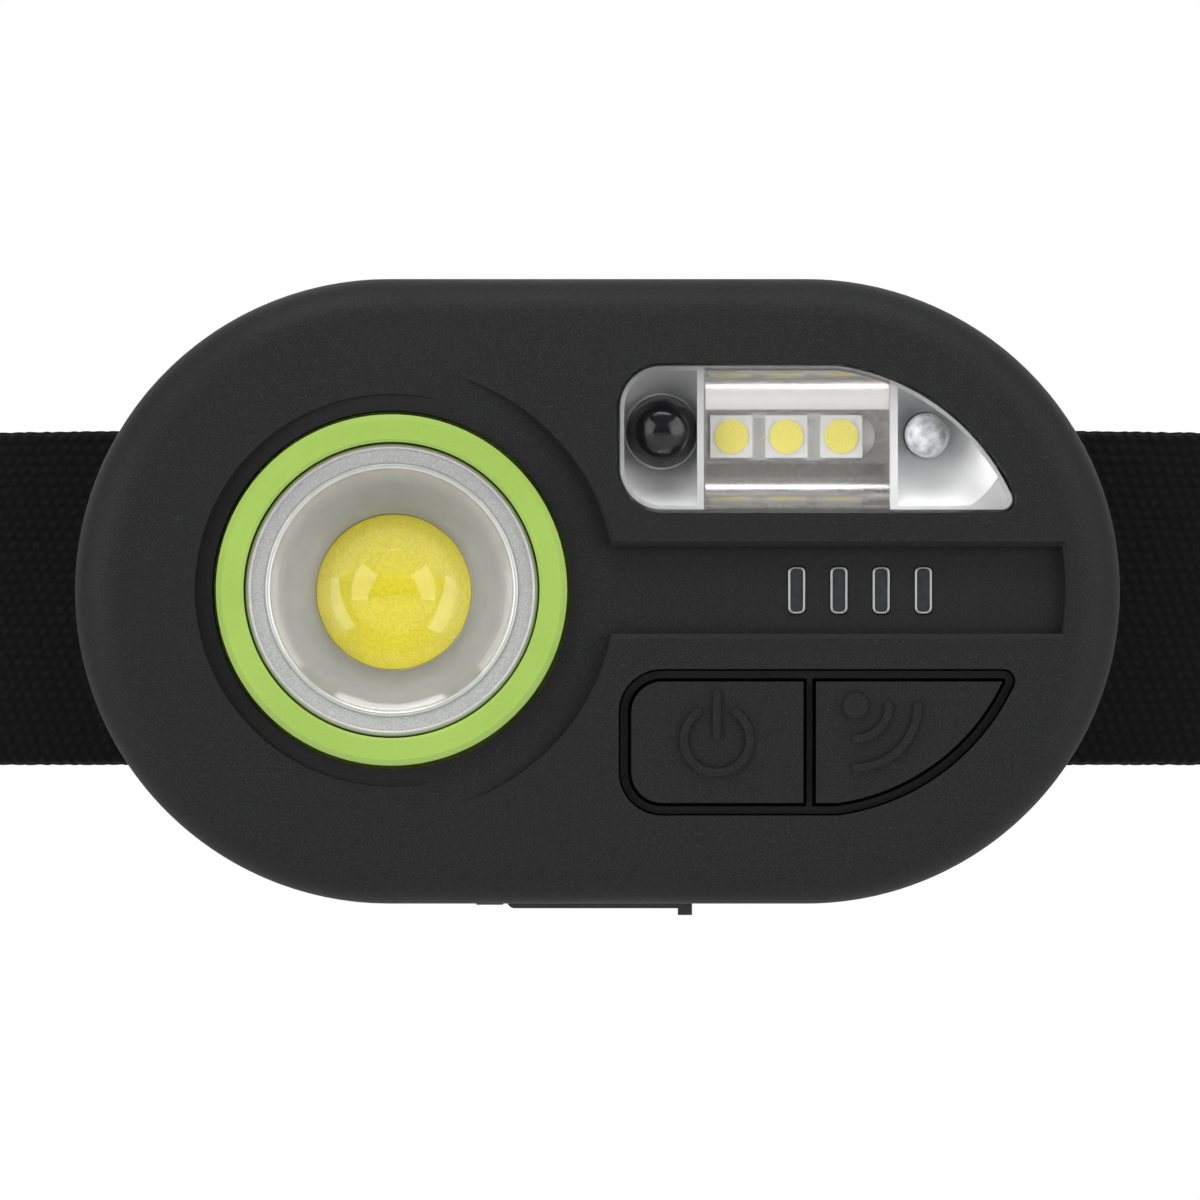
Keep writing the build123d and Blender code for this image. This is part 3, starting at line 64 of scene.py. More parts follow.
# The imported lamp, at rest, in metres: it shines along -Y and +Z is up
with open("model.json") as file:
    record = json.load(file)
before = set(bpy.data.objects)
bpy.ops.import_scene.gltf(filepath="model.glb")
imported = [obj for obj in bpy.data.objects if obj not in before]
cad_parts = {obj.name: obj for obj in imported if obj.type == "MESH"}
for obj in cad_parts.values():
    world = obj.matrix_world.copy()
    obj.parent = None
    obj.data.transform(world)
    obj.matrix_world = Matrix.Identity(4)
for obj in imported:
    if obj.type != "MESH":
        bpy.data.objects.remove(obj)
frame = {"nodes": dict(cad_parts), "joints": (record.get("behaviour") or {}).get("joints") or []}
CAD_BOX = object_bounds()
NODES = frame["nodes"]
FACE_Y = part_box("front_shell")[0].y
LENS_CENTRE = (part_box("bezel_ring")[0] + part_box("bezel_ring")[1]) / 2
PAD_LOW, PAD_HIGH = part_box("forehead_pad")
BAND_LOW, BAND_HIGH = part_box("head_strap")
BAND_THICKNESS = 1.4 * MM
BAND_FRONT_Y = BAND_LOW.y + BAND_THICKNESS / 2

# Half of the worn band from the forehead to the back of the head: each arc's radius and turn.
# The fourth radius is what closes the loop, and is worked out in band_arcs.
FOREHEAD_ARC = (115.7 * MM, 20.0)
TEMPLE_ARC = (51.0 * MM, 52.0)
SIDE_ARC = (180.0 * MM, 28.0)
REAR_TURN = 60.0
BACK_ARC = (90.0 * MM, 20.0)


def sine(degrees):
    """The sine of an angle in degrees."""
    return math.sin(math.radians(degrees))


def cosine(degrees):
    """The cosine of an angle in degrees."""
    return math.cos(math.radians(degrees))


def band_arcs():
    """The band's half loop as (radius, start heading, turn), in metres and degrees."""
    arcs = []
    heading = 0.0
    reach = 0.0
    for radius, turn in (FOREHEAD_ARC, TEMPLE_ARC, SIDE_ARC):
        arcs.append((radius, heading, turn))
        reach += radius * (sine(heading + turn) - sine(heading))
        heading += turn
    rear_end = heading + REAR_TURN
    rear_radius = (reach - BACK_ARC[0] * sine(rear_end)) / (sine(heading) - sine(rear_end))
    arcs.append((rear_radius, heading, REAR_TURN))
    arcs.append((BACK_ARC[0], rear_end, BACK_ARC[1]))
    return arcs


ARCS = band_arcs()
HALF_LOOP = sum(radius * math.radians(turn) for radius, _, turn in ARCS)


def band_frame(length):
    """Where the band's middle line is at a length from the forehead, and which way is outward."""
    length = length % (2 * HALF_LOOP)
    side = 1.0
    if length > HALF_LOOP:
        length = 2 * HALF_LOOP - length
        side = -1.0
    x, y, heading = 0.0, BAND_FRONT_Y, 0.0
    for radius, start, turn in ARCS:
        heading = start + min(turn, math.degrees(length / radius))
        x += radius * (sine(heading) - sine(start))
        y += radius * (cosine(start) - cosine(heading))
        length -= radius * math.radians(turn)
        if length <= 0:
            break
    return Vector((side * x, y, 0)), Vector((side * sine(heading), -cosine(heading), 0))


def side_arc_centre():
    """The centre about which the adjuster follows the band, from its joint."""
    joint = next(joint for joint in frame["joints"] if joint["name"] == "adjuster_slide")
    return Vector(joint["pos_m"])


SIDE_CENTRE = side_arc_centre()


# ---- Mesh helpers ----


def new_object(name, mesh, body, material, smooth=True):
    """Links a mesh as a named piece with one material, riding on a body."""
    piece = bpy.data.objects.new(name, mesh)
    bpy.context.scene.collection.objects.link(piece)
    mesh.materials.append(material)
    for polygon in mesh.polygons:
        polygon.use_smooth = smooth
    if body:
        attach(piece, body)
    return piece


def swept_band(name, stations, profile, place, closed):
    """A mesh of one closed profile carried along stations, with UVs in metres: along, then around.

    place(station, point) gives a vertex; stations are lengths and profile holds (outward, height).
    """
    grid = [[place(station, point) for point in profile] for station in stations]
    count = len(profile)
    verts = [vertex for row in grid for vertex in row]
    faces = []
    rows = len(stations)
    for row in range(rows if closed else rows - 1):
        after = (row + 1) % rows
        for column in range(count):
            beside = (column + 1) % count
            faces.append(
                (row * count + column, after * count + column, after * count + beside, row * count + beside)
            )
    if not closed:
        faces.append(tuple(range(count)))
        faces.append(tuple((rows - 1) * count + column for column in reversed(range(count))))
    mesh = bpy.data.meshes.new(name)
    mesh.from_pydata(verts, [], faces)
    edited = bmesh.new()
    edited.from_mesh(mesh)
    bmesh.ops.recalc_face_normals(edited, faces=edited.faces)
    edited.to_mesh(mesh)
    edited.free()
    around = [0.0]
    for column in range(count):
        step = Vector(profile[(column + 1) % count]) - Vector(profile[column])
        around.append(around[-1] + step.length)
    layer = mesh.uv_layers.new(name="Weave")
    spacing = stations[1] - stations[0]
    for polygon in mesh.polygons:
        rows_here = [mesh.loops[loop].vertex_index // count for loop in polygon.loop_indices]
        columns_here = [mesh.loops[loop].vertex_index % count for loop in polygon.loop_indices]
        wraps_along = max(rows_here) - min(rows_here) > 1
        wraps_around = max(columns_here) - min(columns_here) > 1
        for loop, row, column in zip(polygon.loop_indices, rows_here, columns_here):
            along = stations[row] if not (wraps_along and row == 0) else stations[-1] + spacing
            across = around[count] if wraps_around and column == 0 else around[column]
            layer.data[loop].uv = (along, across)
    return mesh


def webbing_profile(thickness, width, edge_points=5, face_points=9):
    """The section of flat webbing: two faces and two soft rounded edges, as (outward, height)."""
    half, reach = thickness / 2, width / 2 - thickness / 2
    points = []
    for side in (1, -1):
        for index in range(face_points):
            points.append((side * half, side * reach * (2 * index / (face_points - 1) - 1)))
        for index in range(1, edge_points):
            turn = math.pi * index / edge_points
            points.append((side * half * math.cos(turn), side * (reach + half * math.sin(turn))))
    return points


def rounded_ring(build, centre, half_wide, half_high, corner, lift, corner_points=6):
    """A ring of vertices round a rounded rectangle that faces forward."""
    ring = []
    for quarter in range(4):
        side_x = 1 if quarter in (0, 3) else -1
        side_z = 1 if quarter in (0, 1) else -1
        for step in range(corner_points):
            turn = 90 * (quarter + step / (corner_points - 1))
            x = side_x * (half_wide - corner) + corner * cosine(turn)
            z = side_z * (half_high - corner) + corner * sine(turn)
            ring.append(build.verts.new(centre + Vector((x, -lift, z))))
    return ring


def bridge(build, first, second):
    """Joins two closed rings of equally many vertices with faces."""
    count = len(first)
    for index in range(count):
        after = (index + 1) % count
        build.faces.new((first[index], first[after], second[after], second[index]))


def stitch(build, start, end, radius, sides=8, rows=6):
    """One upright stitch: a plump thread that sinks into the cloth at both ends."""
    axis = (end - start).normalized()
    across = axis.cross(Vector((1, 0, 0))).normalized()
    other = axis.cross(across)
    rings = []
    for row in range(rows + 1):
        share = row / rows
        swell = radius * (0.25 + 0.75 * math.sin(math.pi * share) ** 0.5)
        middle = start.lerp(end, share)
        ring = []
        for side in range(sides):
            turn = 2 * math.pi * side / sides
            outward = across * math.cos(turn) + other * math.sin(turn)
            ring.append(build.verts.new(middle + swell * outward))
        rings.append(ring)
    for first, second in zip(rings, rings[1:]):
        bridge(build, first, second)
    build.faces.new(list(reversed(rings[0])))
    build.faces.new(rings[-1])
    bmesh.ops.recalc_face_normals(build, faces=build.faces)


# ---- Material helpers ----


def start_material(name):
    """A new Principled material, with its tree and shader."""
    material = bpy.data.materials.new(name)
    material.use_nodes = True
    shader = material.node_tree.nodes["Principled BSDF"]
    return material, material.node_tree, shader


def add_node(tree, kind, inputs=None, **options):
    """Adds one node, sets its options and its inputs, and links inputs that are sockets."""
    node = tree.nodes.new(kind)
    for option, value in options.items():
        setattr(node, option, value)
    for key, value in (inputs or {}).items():
        if isinstance(value, bpy.types.NodeSocket):
            tree.links.new(value, node.inputs[key])
        else:
            node.inputs[key].default_value = value
    return node


def object_place(tree):
    """The Object coordinate, which is in metres in the lamp's own frame."""
    return add_node(tree, "ShaderNodeTexCoord").outputs["Object"]


def noise_at(tree, vector, size, detail=2.0, roughness=0.5):
    """Noise whose grains are about size metres across."""
    inputs = {"Vector": vector, "Scale": 1 / size, "Detail": detail, "Roughness": roughness}
    return add_node(tree, "ShaderNodeTexNoise", inputs).outputs["Fac"]


def spread(tree, value, low, high, from_low=0.0, from_high=1.0):
    """A value mapped onto a range."""
    inputs = {"Value": value, "From Min": from_low, "From Max": from_high, "To Min": low, "To Max": high}
    return add_node(tree, "ShaderNodeMapRange", inputs).outputs["Result"]


def contrast(tree, noise, reach=0.15):
    """Noise stretched about its middle, so that it runs from 0 to 1 within reach of one half."""
    return spread(tree, noise, 0, 1, 0.5 - reach, 0.5 + reach)


def patches(tree, noise, share, start, end):
    """How much a second tone shows: none where the noise is at start, and share where it is at end."""
    return spread(tree, noise, 0.0, share, start, end)


def maths(tree, operation, first, second=0.0):
    """One Math node."""
    return add_node(tree, "ShaderNodeMath", {0: first, 1: second}, operation=operation).outputs[0]


def vector_maths(tree, operation, inputs):
    """One Vector Math node."""
    return add_node(tree, "ShaderNodeVectorMath", inputs, operation=operation).outputs


def two_colours(tree, factor, first, second):
    """A mix of two colours by a factor."""
    node = add_node(tree, "ShaderNodeMix", data_type="RGBA")
    tree.links.new(factor, node.inputs["Factor"])
    for socket, colour in ((node.inputs[6], first), (node.inputs[7], second)):
        if isinstance(colour, bpy.types.NodeSocket):
            tree.links.new(colour, socket)
        else:
            socket.default_value = (*colour[:3], 1.0)
    return node.outputs[2]


def shade(colour, factor):
    """A colour made lighter or darker."""
    return tuple(min(1.0, channel * factor) for channel in colour[:3])


def distance_from_axis(tree, place, centre):
    """How far a place is from an axis along Y through a centre."""
    offset = vector_maths(tree, "SUBTRACT", {0: place, 1: centre})[0]
    flat = vector_maths(tree, "MULTIPLY", {0: offset, 1: (1.0, 0.0, 1.0)})[0]
    return vector_maths(tree, "LENGTH", {0: flat})["Value"]


def paint(tree, shader, tone, roughness):
    """Links a tone and a roughness to the shader."""
    tree.links.new(tone, shader.inputs["Base Color"])
    tree.links.new(roughness, shader.inputs["Roughness"])


def add_bump(tree, shader, height, depth):
    """Bump of a depth in metres on the shader."""
    inputs = {"Height": height, "Distance": depth, "Strength": 1.0}
    normal = add_node(tree, "ShaderNodeBump", inputs).outputs["Normal"]
    tree.links.new(normal, shader.inputs["Normal"])


# ---- Finishes ----


def moulded(name, colour, roughness=0.5, grain=0.12 * MM, depth=0.006 * MM, speck=0.25, coat=0.0):
    """Moulded plastic or rubber: a fine grain, a speckled tone and faint handling marks."""
    material, tree, shader = start_material(name)
    place = object_place(tree)
    fine = noise_at(tree, place, grain, detail=3.0)
    marks = noise_at(tree, place, 9 * MM, detail=3.0)
    tone = two_colours(tree, contrast(tree, fine), shade(colour, 1 - speck), shade(colour, 1 + speck))
    handled = patches(tree, marks, share=0.16, start=0.4, end=0.7)
    tone = two_colours(tree, handled, tone, shade(colour, 1.5))
    worn = spread(tree, marks, roughness - 0.05, roughness + 0.05, from_low=0.3, from_high=0.7)
    paint(tree, shader, tone, maths(tree, "ADD", worn, spread(tree, fine, -0.03, 0.03)))
    shader.inputs["Coat Weight"].default_value = coat
    shader.inputs["Coat Roughness"].default_value = 0.08
    add_bump(tree, shader, fine, depth)
    return material


def soft_touch(name, colour):
    """Soft-touch coating: matt, evenly dark, with fine pale specks painted in as glints of its grain, and
    faint rubbed patches.
    """
    material, tree, shader = start_material(name)
    place = object_place(tree)
    grain = 0.15 * MM
    fine = noise_at(tree, place, grain, roughness=0.6)
    grit = noise_at(tree, place, grain * 0.45, roughness=0.6)
    broad = noise_at(tree, place, 11 * MM, detail=4.0)
    tone = two_colours(tree, contrast(tree, fine, 0.12), shade(colour, 0.7), shade(colour, 1.2))
    # Painted glints: fine pale specks standing in for light sparkling on the coating's grain.
    painted_glints = patches(tree, grit, share=1.0, start=0.52, end=0.68)
    tone = two_colours(tree, painted_glints, tone, shade(colour, 4.5))
    rubbed = patches(tree, broad, share=0.3, start=0.45, end=0.7)
    tone = two_colours(tree, rubbed, tone, shade(colour, 1.6))
    worn = spread(tree, broad, 0.56, 0.66, from_low=0.3, from_high=0.7)
    paint(tree, shader, tone, maths(tree, "ADD", worn, spread(tree, fine, -0.05, 0.05)))
    shader.inputs["Specular IOR Level"].default_value = 0.22
    add_bump(tree, shader, maths(tree, "ADD", fine, grit), 0.010 * MM)
    return material


def metal(name, colour, roughness=0.3, grain=0.1 * MM):
    """Plainly blasted metal, with a few smudges."""
    material, tree, shader = start_material(name)
    shader.inputs["Metallic"].default_value = 1.0
    place = object_place(tree)
    marks = noise_at(tree, place, grain, detail=3.0)
    smudge = noise_at(tree, place, 4 * MM, detail=3.0)
    tone = two_colours(tree, contrast(tree, marks, 0.2), shade(colour, 0.92), shade(colour, 1.06))
    smeared = spread(tree, smudge, roughness - 0.05, roughness + 0.07)
    paint(tree, shader, tone, maths(tree, "ADD", smeared, spread(tree, marks, -0.04, 0.04)))
    add_bump(tree, shader, marks, 0.003 * MM)
    return material


def satin_reflector(name, colour, centre, flange_inner=8.95 * MM, flange_outer=10.1 * MM):
    """Metallised plastic: a grainy flange round a smoother satin cone."""
    material, tree, shader = start_material(name)
    place = object_place(tree)
    radius = distance_from_axis(tree, place, centre)
    past_cone = maths(tree, "GREATER_THAN", radius, flange_inner)
    flange = maths(tree, "MULTIPLY", past_cone, maths(tree, "LESS_THAN", radius, flange_outer))
    grain = noise_at(tree, place, 0.07 * MM, detail=3.0, roughness=0.7)
    smooth = noise_at(tree, place, 1.5 * MM)
    cone_tone = two_colours(tree, contrast(tree, smooth, 0.2), shade(colour, 0.96), shade(colour, 1.04))
    flange_tone = two_colours(tree, contrast(tree, grain), shade(colour, 0.62), shade(colour, 1.1))
    tone = two_colours(tree, flange, cone_tone, flange_tone)
    satin = maths(tree, "ADD", 0.40, maths(tree, "MULTIPLY", flange, 0.18))
    paint(tree, shader, tone, maths(tree, "ADD", satin, spread(tree, grain, -0.03, 0.03)))
    shader.inputs["Metallic"].default_value = 0.8
    height = maths(tree, "MULTIPLY", grain, maths(tree, "ADD", 0.15, flange))
    add_bump(tree, shader, height, 0.008 * MM)
    return material


def see_through(name, colour, ior):
    """Clear polished plastic or glass that lets the lamps through."""
    material, tree, shader = start_material(name)
    shader.inputs["Transmission Weight"].default_value = 1.0
    shader.inputs["IOR"].default_value = ior
    wave = noise_at(tree, object_place(tree), 3 * MM)
    tone = two_colours(tree, wave, shade(colour, 0.98), shade(colour, 1.0))
    paint(tree, shader, tone, spread(tree, wave, 0.0, 0.03))
    add_bump(tree, shader, wave, 0.0004 * MM)
    clear = add_node(tree, "ShaderNodeBsdfTransparent", {"Color": (*shade(colour, 0.97), 1.0)})
    rays = add_node(tree, "ShaderNodeLightPath")
    mixed = add_node(tree, "ShaderNodeMixShader", {0: rays.outputs["Is Shadow Ray"]})
    tree.links.new(shader.outputs[0], mixed.inputs[1])
    tree.links.new(clear.outputs[0], mixed.inputs[2])
    tree.links.new(mixed.outputs[0], tree.nodes["Material Output"].inputs["Surface"])
    return material


def pale_painted_dome(name, colour):
    """Water-clear resin over a pale lead frame, drawn as an opaque pale gloss dome: its pale clouded tone
    is a painted reflection of the lit frame seen through the resin.
    """
    material, tree, shader = start_material(name)
    cloud = noise_at(tree, object_place(tree), 0.7 * MM, detail=3.0)
    # Painted reflection: a pale clouded tone in place of the lit lead frame seen through the clear resin.
    tone = two_colours(tree, contrast(tree, cloud), shade(colour, 0.7), shade(colour, 1.25))
    paint(tree, shader, tone, spread(tree, cloud, 0.10, 0.16))
    shader.inputs["Coat Weight"].default_value = 1.0
    shader.inputs["Coat Roughness"].default_value = 0.02
    add_bump(tree, shader, cloud, 0.01 * MM)
    return material


def strayed(tree, uv):
    """The weave's coordinate, shifted a little here and there as yarns wander."""
    inputs = {"Vector": uv, "Scale": 1 / (2.4 * MM), "Detail": 2.0}
    waver = add_node(tree, "ShaderNodeTexNoise", inputs).outputs["Color"]
    centred = vector_maths(tree, "SUBTRACT", {0: waver, 1: (0.5, 0.5, 0.5)})[0]
    shift = vector_maths(tree, "SCALE", {0: centred, 3: 0.55 * MM})[0]
    return vector_maths(tree, "ADD", {0: uv, 1: shift})[0]


def woven(name, colour, rib=0.80 * MM, pick=1.0 * MM, step=0.31):
    """Elastic webbing: yarns laid in steps, so they run diagonally, broken up by stray fibre, with painted
    shade in the valleys between yarns and painted highlights on their crowns.
    """
    material, tree, shader = start_material(name)
    uv = add_node(tree, "ShaderNodeUVMap", uv_map="Weave").outputs[0]
    parts = add_node(tree, "ShaderNodeSeparateXYZ", {0: strayed(tree, uv)}).outputs
    along, across = parts["X"], parts["Y"]
    rib_turn = maths(tree, "MULTIPLY", across, 2 * math.pi / rib)
    rib_index = maths(tree, "FLOOR", maths(tree, "MULTIPLY", across, 1 / rib))
    pick_turn = maths(tree, "MULTIPLY", along, 2 * math.pi / pick)
    pick_turn = maths(tree, "ADD", pick_turn, maths(tree, "MULTIPLY", rib_index, 2 * math.pi * step))
    rib_wave = maths(tree, "SUBTRACT", 0.5, maths(tree, "MULTIPLY", maths(tree, "COSINE", rib_turn), 0.5))
    pick_wave = maths(tree, "ADD", 0.5, maths(tree, "MULTIPLY", maths(tree, "SINE", pick_turn), 0.5))
    plump = maths(tree, "POWER", rib_wave, 0.7)
    weave = maths(tree, "MULTIPLY", plump, maths(tree, "ADD", 0.15, pick_wave))
    place = object_place(tree)
    fibre = noise_at(tree, place, 0.14 * MM, detail=4.0, roughness=0.75)
    tuft = noise_at(tree, place, 0.9 * MM, detail=3.0, roughness=0.6)
    # Painted shade and highlight: the tone runs from dark in the valleys between yarns to light on their
    # crowns.
    painted_weave_shade = spread(tree, weave, 0, 1, from_low=0.05)
    tone = two_colours(tree, painted_weave_shade, shade(colour, 0.35), shade(colour, 1.5))
    strays = patches(tree, fibre, share=0.5, start=0.55, end=0.8)
    tone = two_colours(tree, strays, tone, shade(colour, 3.2))
    tufts = patches(tree, tuft, share=0.4, start=0.5, end=0.75)
    tone = two_colours(tree, tufts, tone, shade(colour, 2.2))
    paint(tree, shader, tone, spread(tree, fibre, 0.5, 0.85))
    shader.inputs["Specular IOR Level"].default_value = 0.09
    shader.inputs["Sheen Weight"].default_value = 0.02
    shader.inputs["Sheen Roughness"].default_value = 0.4
    add_bump(tree, shader, maths(tree, "ADD", weave, maths(tree, "MULTIPLY", fibre, 0.7)), 0.22 * MM)
    return material


def knitted(name, colour, loop=0.9 * MM, depth=0.12 * MM):
    """Brushed knit over foam: small open cells with a soft nap, with painted shade in the cells."""
    material, tree, shader = start_material(name)
    place = object_place(tree)
    inputs = {"Vector": place, "Scale": 1 / loop, "Randomness": 0.25}
    cells = add_node(tree, "ShaderNodeTexVoronoi", inputs).outputs["Distance"]
    nap = noise_at(tree, place, 0.2 * MM, detail=4.0, roughness=0.7)
    # Cell dish for the bump, also used as painted shade: the tone darkens towards the middle of each open
    # cell.
    cell_dish_and_shade = spread(tree, cells, 0, 1, from_low=0.1, from_high=0.6)
    tone = two_colours(tree, cell_dish_and_shade, shade(colour, 0.5), shade(colour, 1.3))
    brushed = patches(tree, nap, share=0.4, start=0.5, end=0.8)
    tone = two_colours(tree, brushed, tone, shade(colour, 2.2))
    paint(tree, shader, tone, spread(tree, nap, 0.8, 0.98))
    shader.inputs["Sheen Weight"].default_value = 0.35
    shader.inputs["Sheen Roughness"].default_value = 0.5
    add_bump(tree, shader, maths(tree, "ADD", cell_dish_and_shade, maths(tree, "MULTIPLY", nap, 0.4)), depth)
    return material


def phosphor_gel(name, colour, grain=0.15 * MM):
    """Granular yellow phosphor under clear gel."""
    material, tree, shader = start_material(name)
    place = object_place(tree)
    grit = noise_at(tree, place, grain, detail=4.0, roughness=0.6)
    blotch = noise_at(tree, place, 1.5 * MM)
    tone = two_colours(tree, contrast(tree, grit), shade(colour, 0.9), shade(colour, 1.1))
    blotches = patches(tree, blotch, share=0.25, start=0.4, end=0.7)
    tone = two_colours(tree, blotches, tone, shade(colour, 1.15))
    paint(tree, shader, tone, spread(tree, grit, 0.35, 0.6))
    shader.inputs["Coat Weight"].default_value = 0.4
    add_bump(tree, shader, grit, 0.01 * MM)
    return material


def flood_tray(name, trough_start, trough_end):
    """The metallised flood reflector: satin end cells and a polished, faintly hazy middle trough."""
    left_cell, trough, right_cell = (0.66, 0.66, 0.67), (0.80, 0.79, 0.77), (0.88, 0.88, 0.88)
    pits = (0.4, 0.4, 0.4)
    material, tree, shader = start_material(name)
    place = object_place(tree)
    across = add_node(tree, "ShaderNodeSeparateXYZ", {0: place}).outputs["X"]
    grit = noise_at(tree, place, 0.08 * MM, detail=3.0)
    haze = noise_at(tree, place, 0.25 * MM)
    past_start = maths(tree, "GREATER_THAN", across, trough_start)
    in_trough = maths(tree, "MULTIPLY", past_start, maths(tree, "LESS_THAN", across, trough_end))
    in_right = maths(tree, "GREATER_THAN", across, trough_end)
    tone = two_colours(tree, in_trough, left_cell, trough)
    tone = two_colours(tree, in_right, tone, right_cell)
    tone = two_colours(tree, spread(tree, grit, 0.0, 0.15), tone, pits)
    satin = spread(tree, haze, 0.36, 0.42, from_low=0.35, from_high=0.65)
    polished = maths(tree, "SUBTRACT", satin, maths(tree, "MULTIPLY", in_trough, 0.2))
    paint(tree, shader, tone, maths(tree, "ADD", polished, spread(tree, grit, 0.0, 0.05)))
    shine = maths(tree, "ADD", 0.45, maths(tree, "MULTIPLY", in_trough, 0.5))
    tree.links.new(shine, shader.inputs["Metallic"])
    add_bump(tree, shader, haze, 0.0012 * MM)
    return material


def circuit(name, mask, copper):
    """A circuit board: solder mask with faint tracks showing through."""
    material, tree, shader = start_material(name)
    place = object_place(tree)
    inputs = {"Vector": place, "Scale": 700.0, "Randomness": 0.8}
    tracks = add_node(tree, "ShaderNodeTexVoronoi", inputs, distance="MANHATTAN", feature="F1")
    grit = noise_at(tree, place, 0.1 * MM)
    line = spread(tree, tracks.outputs["Distance"], 1, 0, from_low=0.25, from_high=0.3)
    tone = two_colours(tree, maths(tree, "MULTIPLY", line, 0.35), mask, copper)
    tone = two_colours(tree, spread(tree, grit, 0, 0.15), tone, shade(mask, 0.6))
    paint(tree, shader, tone, spread(tree, grit, 0.3, 0.45))
    add_bump(tree, shader, line, 0.02 * MM)
    return material


def give(material, *nodes):
    """Puts a material on CAD nodes."""
    for name in nodes:
        node = NODES[name]
        if not node.material_slots:
            node.data.materials.append(material)
        for slot in node.material_slots:
            slot.material = material


# ---- Settings ----


class HeadlampSettings(PropertyGroup):
    """Sizes and colours of the finishes."""

    body_colour: FloatVectorProperty(
        name="Body Colour",
        description="Soft-touch moulding of the front shell",
        default=(0.0052, 0.0054, 0.0056),
        size=3,
        min=0.0,
        max=1.0,
        subtype="COLOR",
    )
    bezel_colour: FloatVectorProperty(
        name="Bezel Colour",
        description="Satin ring round the spot light",
        default=(0.272, 0.407, 0.076),
        size=3,
        min=0.0,
        max=1.0,
        subtype="COLOR",
    )
    webbing_colour: FloatVectorProperty(
        name="Webbing Colour",
        description="Yarn of the headband",
        default=(0.0019, 0.002, 0.0025),
        size=3,
        min=0.0,
        max=1.0,
        subtype="COLOR",
    )
    pad_colour: FloatVectorProperty(
        name="Pad Colour",
        description="Knit cover of the forehead pad",
        default=(0.02, 0.02, 0.023),
        size=3,
        min=0.0,
        max=1.0,
        subtype="COLOR",
    )
    phosphor_colour: FloatVectorProperty(
        name="Phosphor Colour",
        description="Yellow phosphor on the light emitters",
        default=(0.9, 0.77, 0.018),
        size=3,
        min=0.0,
        max=1.0,
        subtype="COLOR",
    )
    picot: FloatProperty(
        name="Edge Picot",
        description="How far the webbing's edge yarns stand out and in",
        default=0.09 * MM,
        min=0.0,
        max=0.001,
        precision=6,
        subtype="DISTANCE",
        unit="LENGTH",
    )
    pad_channel: FloatProperty(
        name="Pad Channel Depth",
        description="Depth of the sewn channels in the forehead pad",
        default=0.8 * MM,
        min=0.0,
        max=0.002,
        precision=6,
        subtype="DISTANCE",
        unit="LENGTH",
    )
    # Width of the painted highlight: a bright rim standing in for the light on each light pipe's edge.
    highlight_rim_width: FloatProperty(
        name="Light Pipe Rim",
        description="Width of the bright rim round each light pipe",
        default=0.14 * MM,
        min=0.00005,
        max=0.0005,
        precision=6,
        subtype="DISTANCE",
        unit="LENGTH",
    )


def settings():
    """The scene's headlamp settings."""
    return bpy.context.scene.headlamp_settings


# ---- Operators ----


class HEADLAMP_OT_shells(Operator):
    """Give the shells, seal, screws, bracket and hinge pin their finishes"""

    bl_idname = "headlamp.shells"
    bl_label = "Shells and Bracket"

    def execute(self, context):
        colour = settings().body_colour
        shell = moulded("moulded_shell", shade(colour, 0.75), grain=0.2 * MM, depth=0.012 * MM, speck=0.2)
        silicone = moulded("silicone", SEAL_BLACK, roughness=0.6, grain=0.2 * MM, depth=0.004 * MM)
        give(soft_touch("soft_touch", colour), "front_shell")
        give(shell, "rear_shell", "bracket")
        give(silicone, "shell_gasket")
        give(metal("blackened_steel", (0.12, 0.12, 0.125), roughness=0.35), "shell_screws")
        give(metal("hinge_steel", (0.5, 0.5, 0.51)), "hinge_pin")
        return {"FINISHED"}


class HEADLAMP_OT_spot_light(Operator):
    """Give the bezel ring, reflector, dome lens and emitter their finishes"""

    bl_idname = "headlamp.spot_light"
    bl_label = "Spot Light"

    def execute(self, context):
        chosen = settings()
        ring = moulded(
            "bezel_green",
            chosen.bezel_colour,
            roughness=0.33,
            grain=0.09 * MM,
            depth=0.002 * MM,
            speck=0.04,
            coat=0.15,
        )
        give(ring, "bezel_ring")
        give(satin_reflector("satin_reflector", (0.57, 0.57, 0.57), LENS_CENTRE), "spot_reflector")
        give(see_through("dome_glass", (1.0, 1.0, 1.0), GLASS_IOR), "spot_dome_lens")
        give(phosphor_gel("spot_phosphor", chosen.phosphor_colour), "spot_phosphor")
        give(circuit("white_board", (0.78, 0.78, 0.76), PALE_COPPER), "spot_led_board")
        give(metal("heat_sink", (0.66, 0.66, 0.67), roughness=0.4), "heat_sink")
        give(moulded("seal_rubber", SEAL_BLACK), "lens_o_ring")
        return {"FINISHED"}


class HEADLAMP_OT_flood_light(Operator):
    """Give the flood window, its reflector, emitters and infrared parts their finishes"""

    bl_idname = "headlamp.flood_light"
    bl_label = "Flood Light"

    left_margin = 0.5 * MM
    right_margin = 1.9 * MM

    def execute(self, context):
        low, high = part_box("flood_leds")
        tray = flood_tray("flood_reflector", low.x - self.left_margin, high.x + self.right_margin)
        emitter = moulded(
            "emitter_white",
            (0.66, 0.66, 0.64),
            roughness=0.35,
            grain=0.1 * MM,
            depth=0.002 * MM,
            speck=0.03,
        )
        receiver = moulded(
            "infrared_black",
            (0.004, 0.0035, 0.0045),
            roughness=0.14,
            grain=0.5 * MM,
            depth=0.0005 * MM,
            speck=0.1,
        )
        give(see_through("clear_window", (0.98, 0.98, 0.98), ACRYLIC_IOR), "flood_window")
        give(tray, "flood_reflector")
        give(emitter, "flood_leds")
        give(phosphor_gel("flood_phosphor", (0.78, 0.70, 0.16), 0.1 * MM), "flood_phosphors")
        give(receiver, "ir_receiver")
        give(pale_painted_dome("emitter_clear", (0.62, 0.63, 0.66)), "ir_emitter")
        return {"FINISHED"}


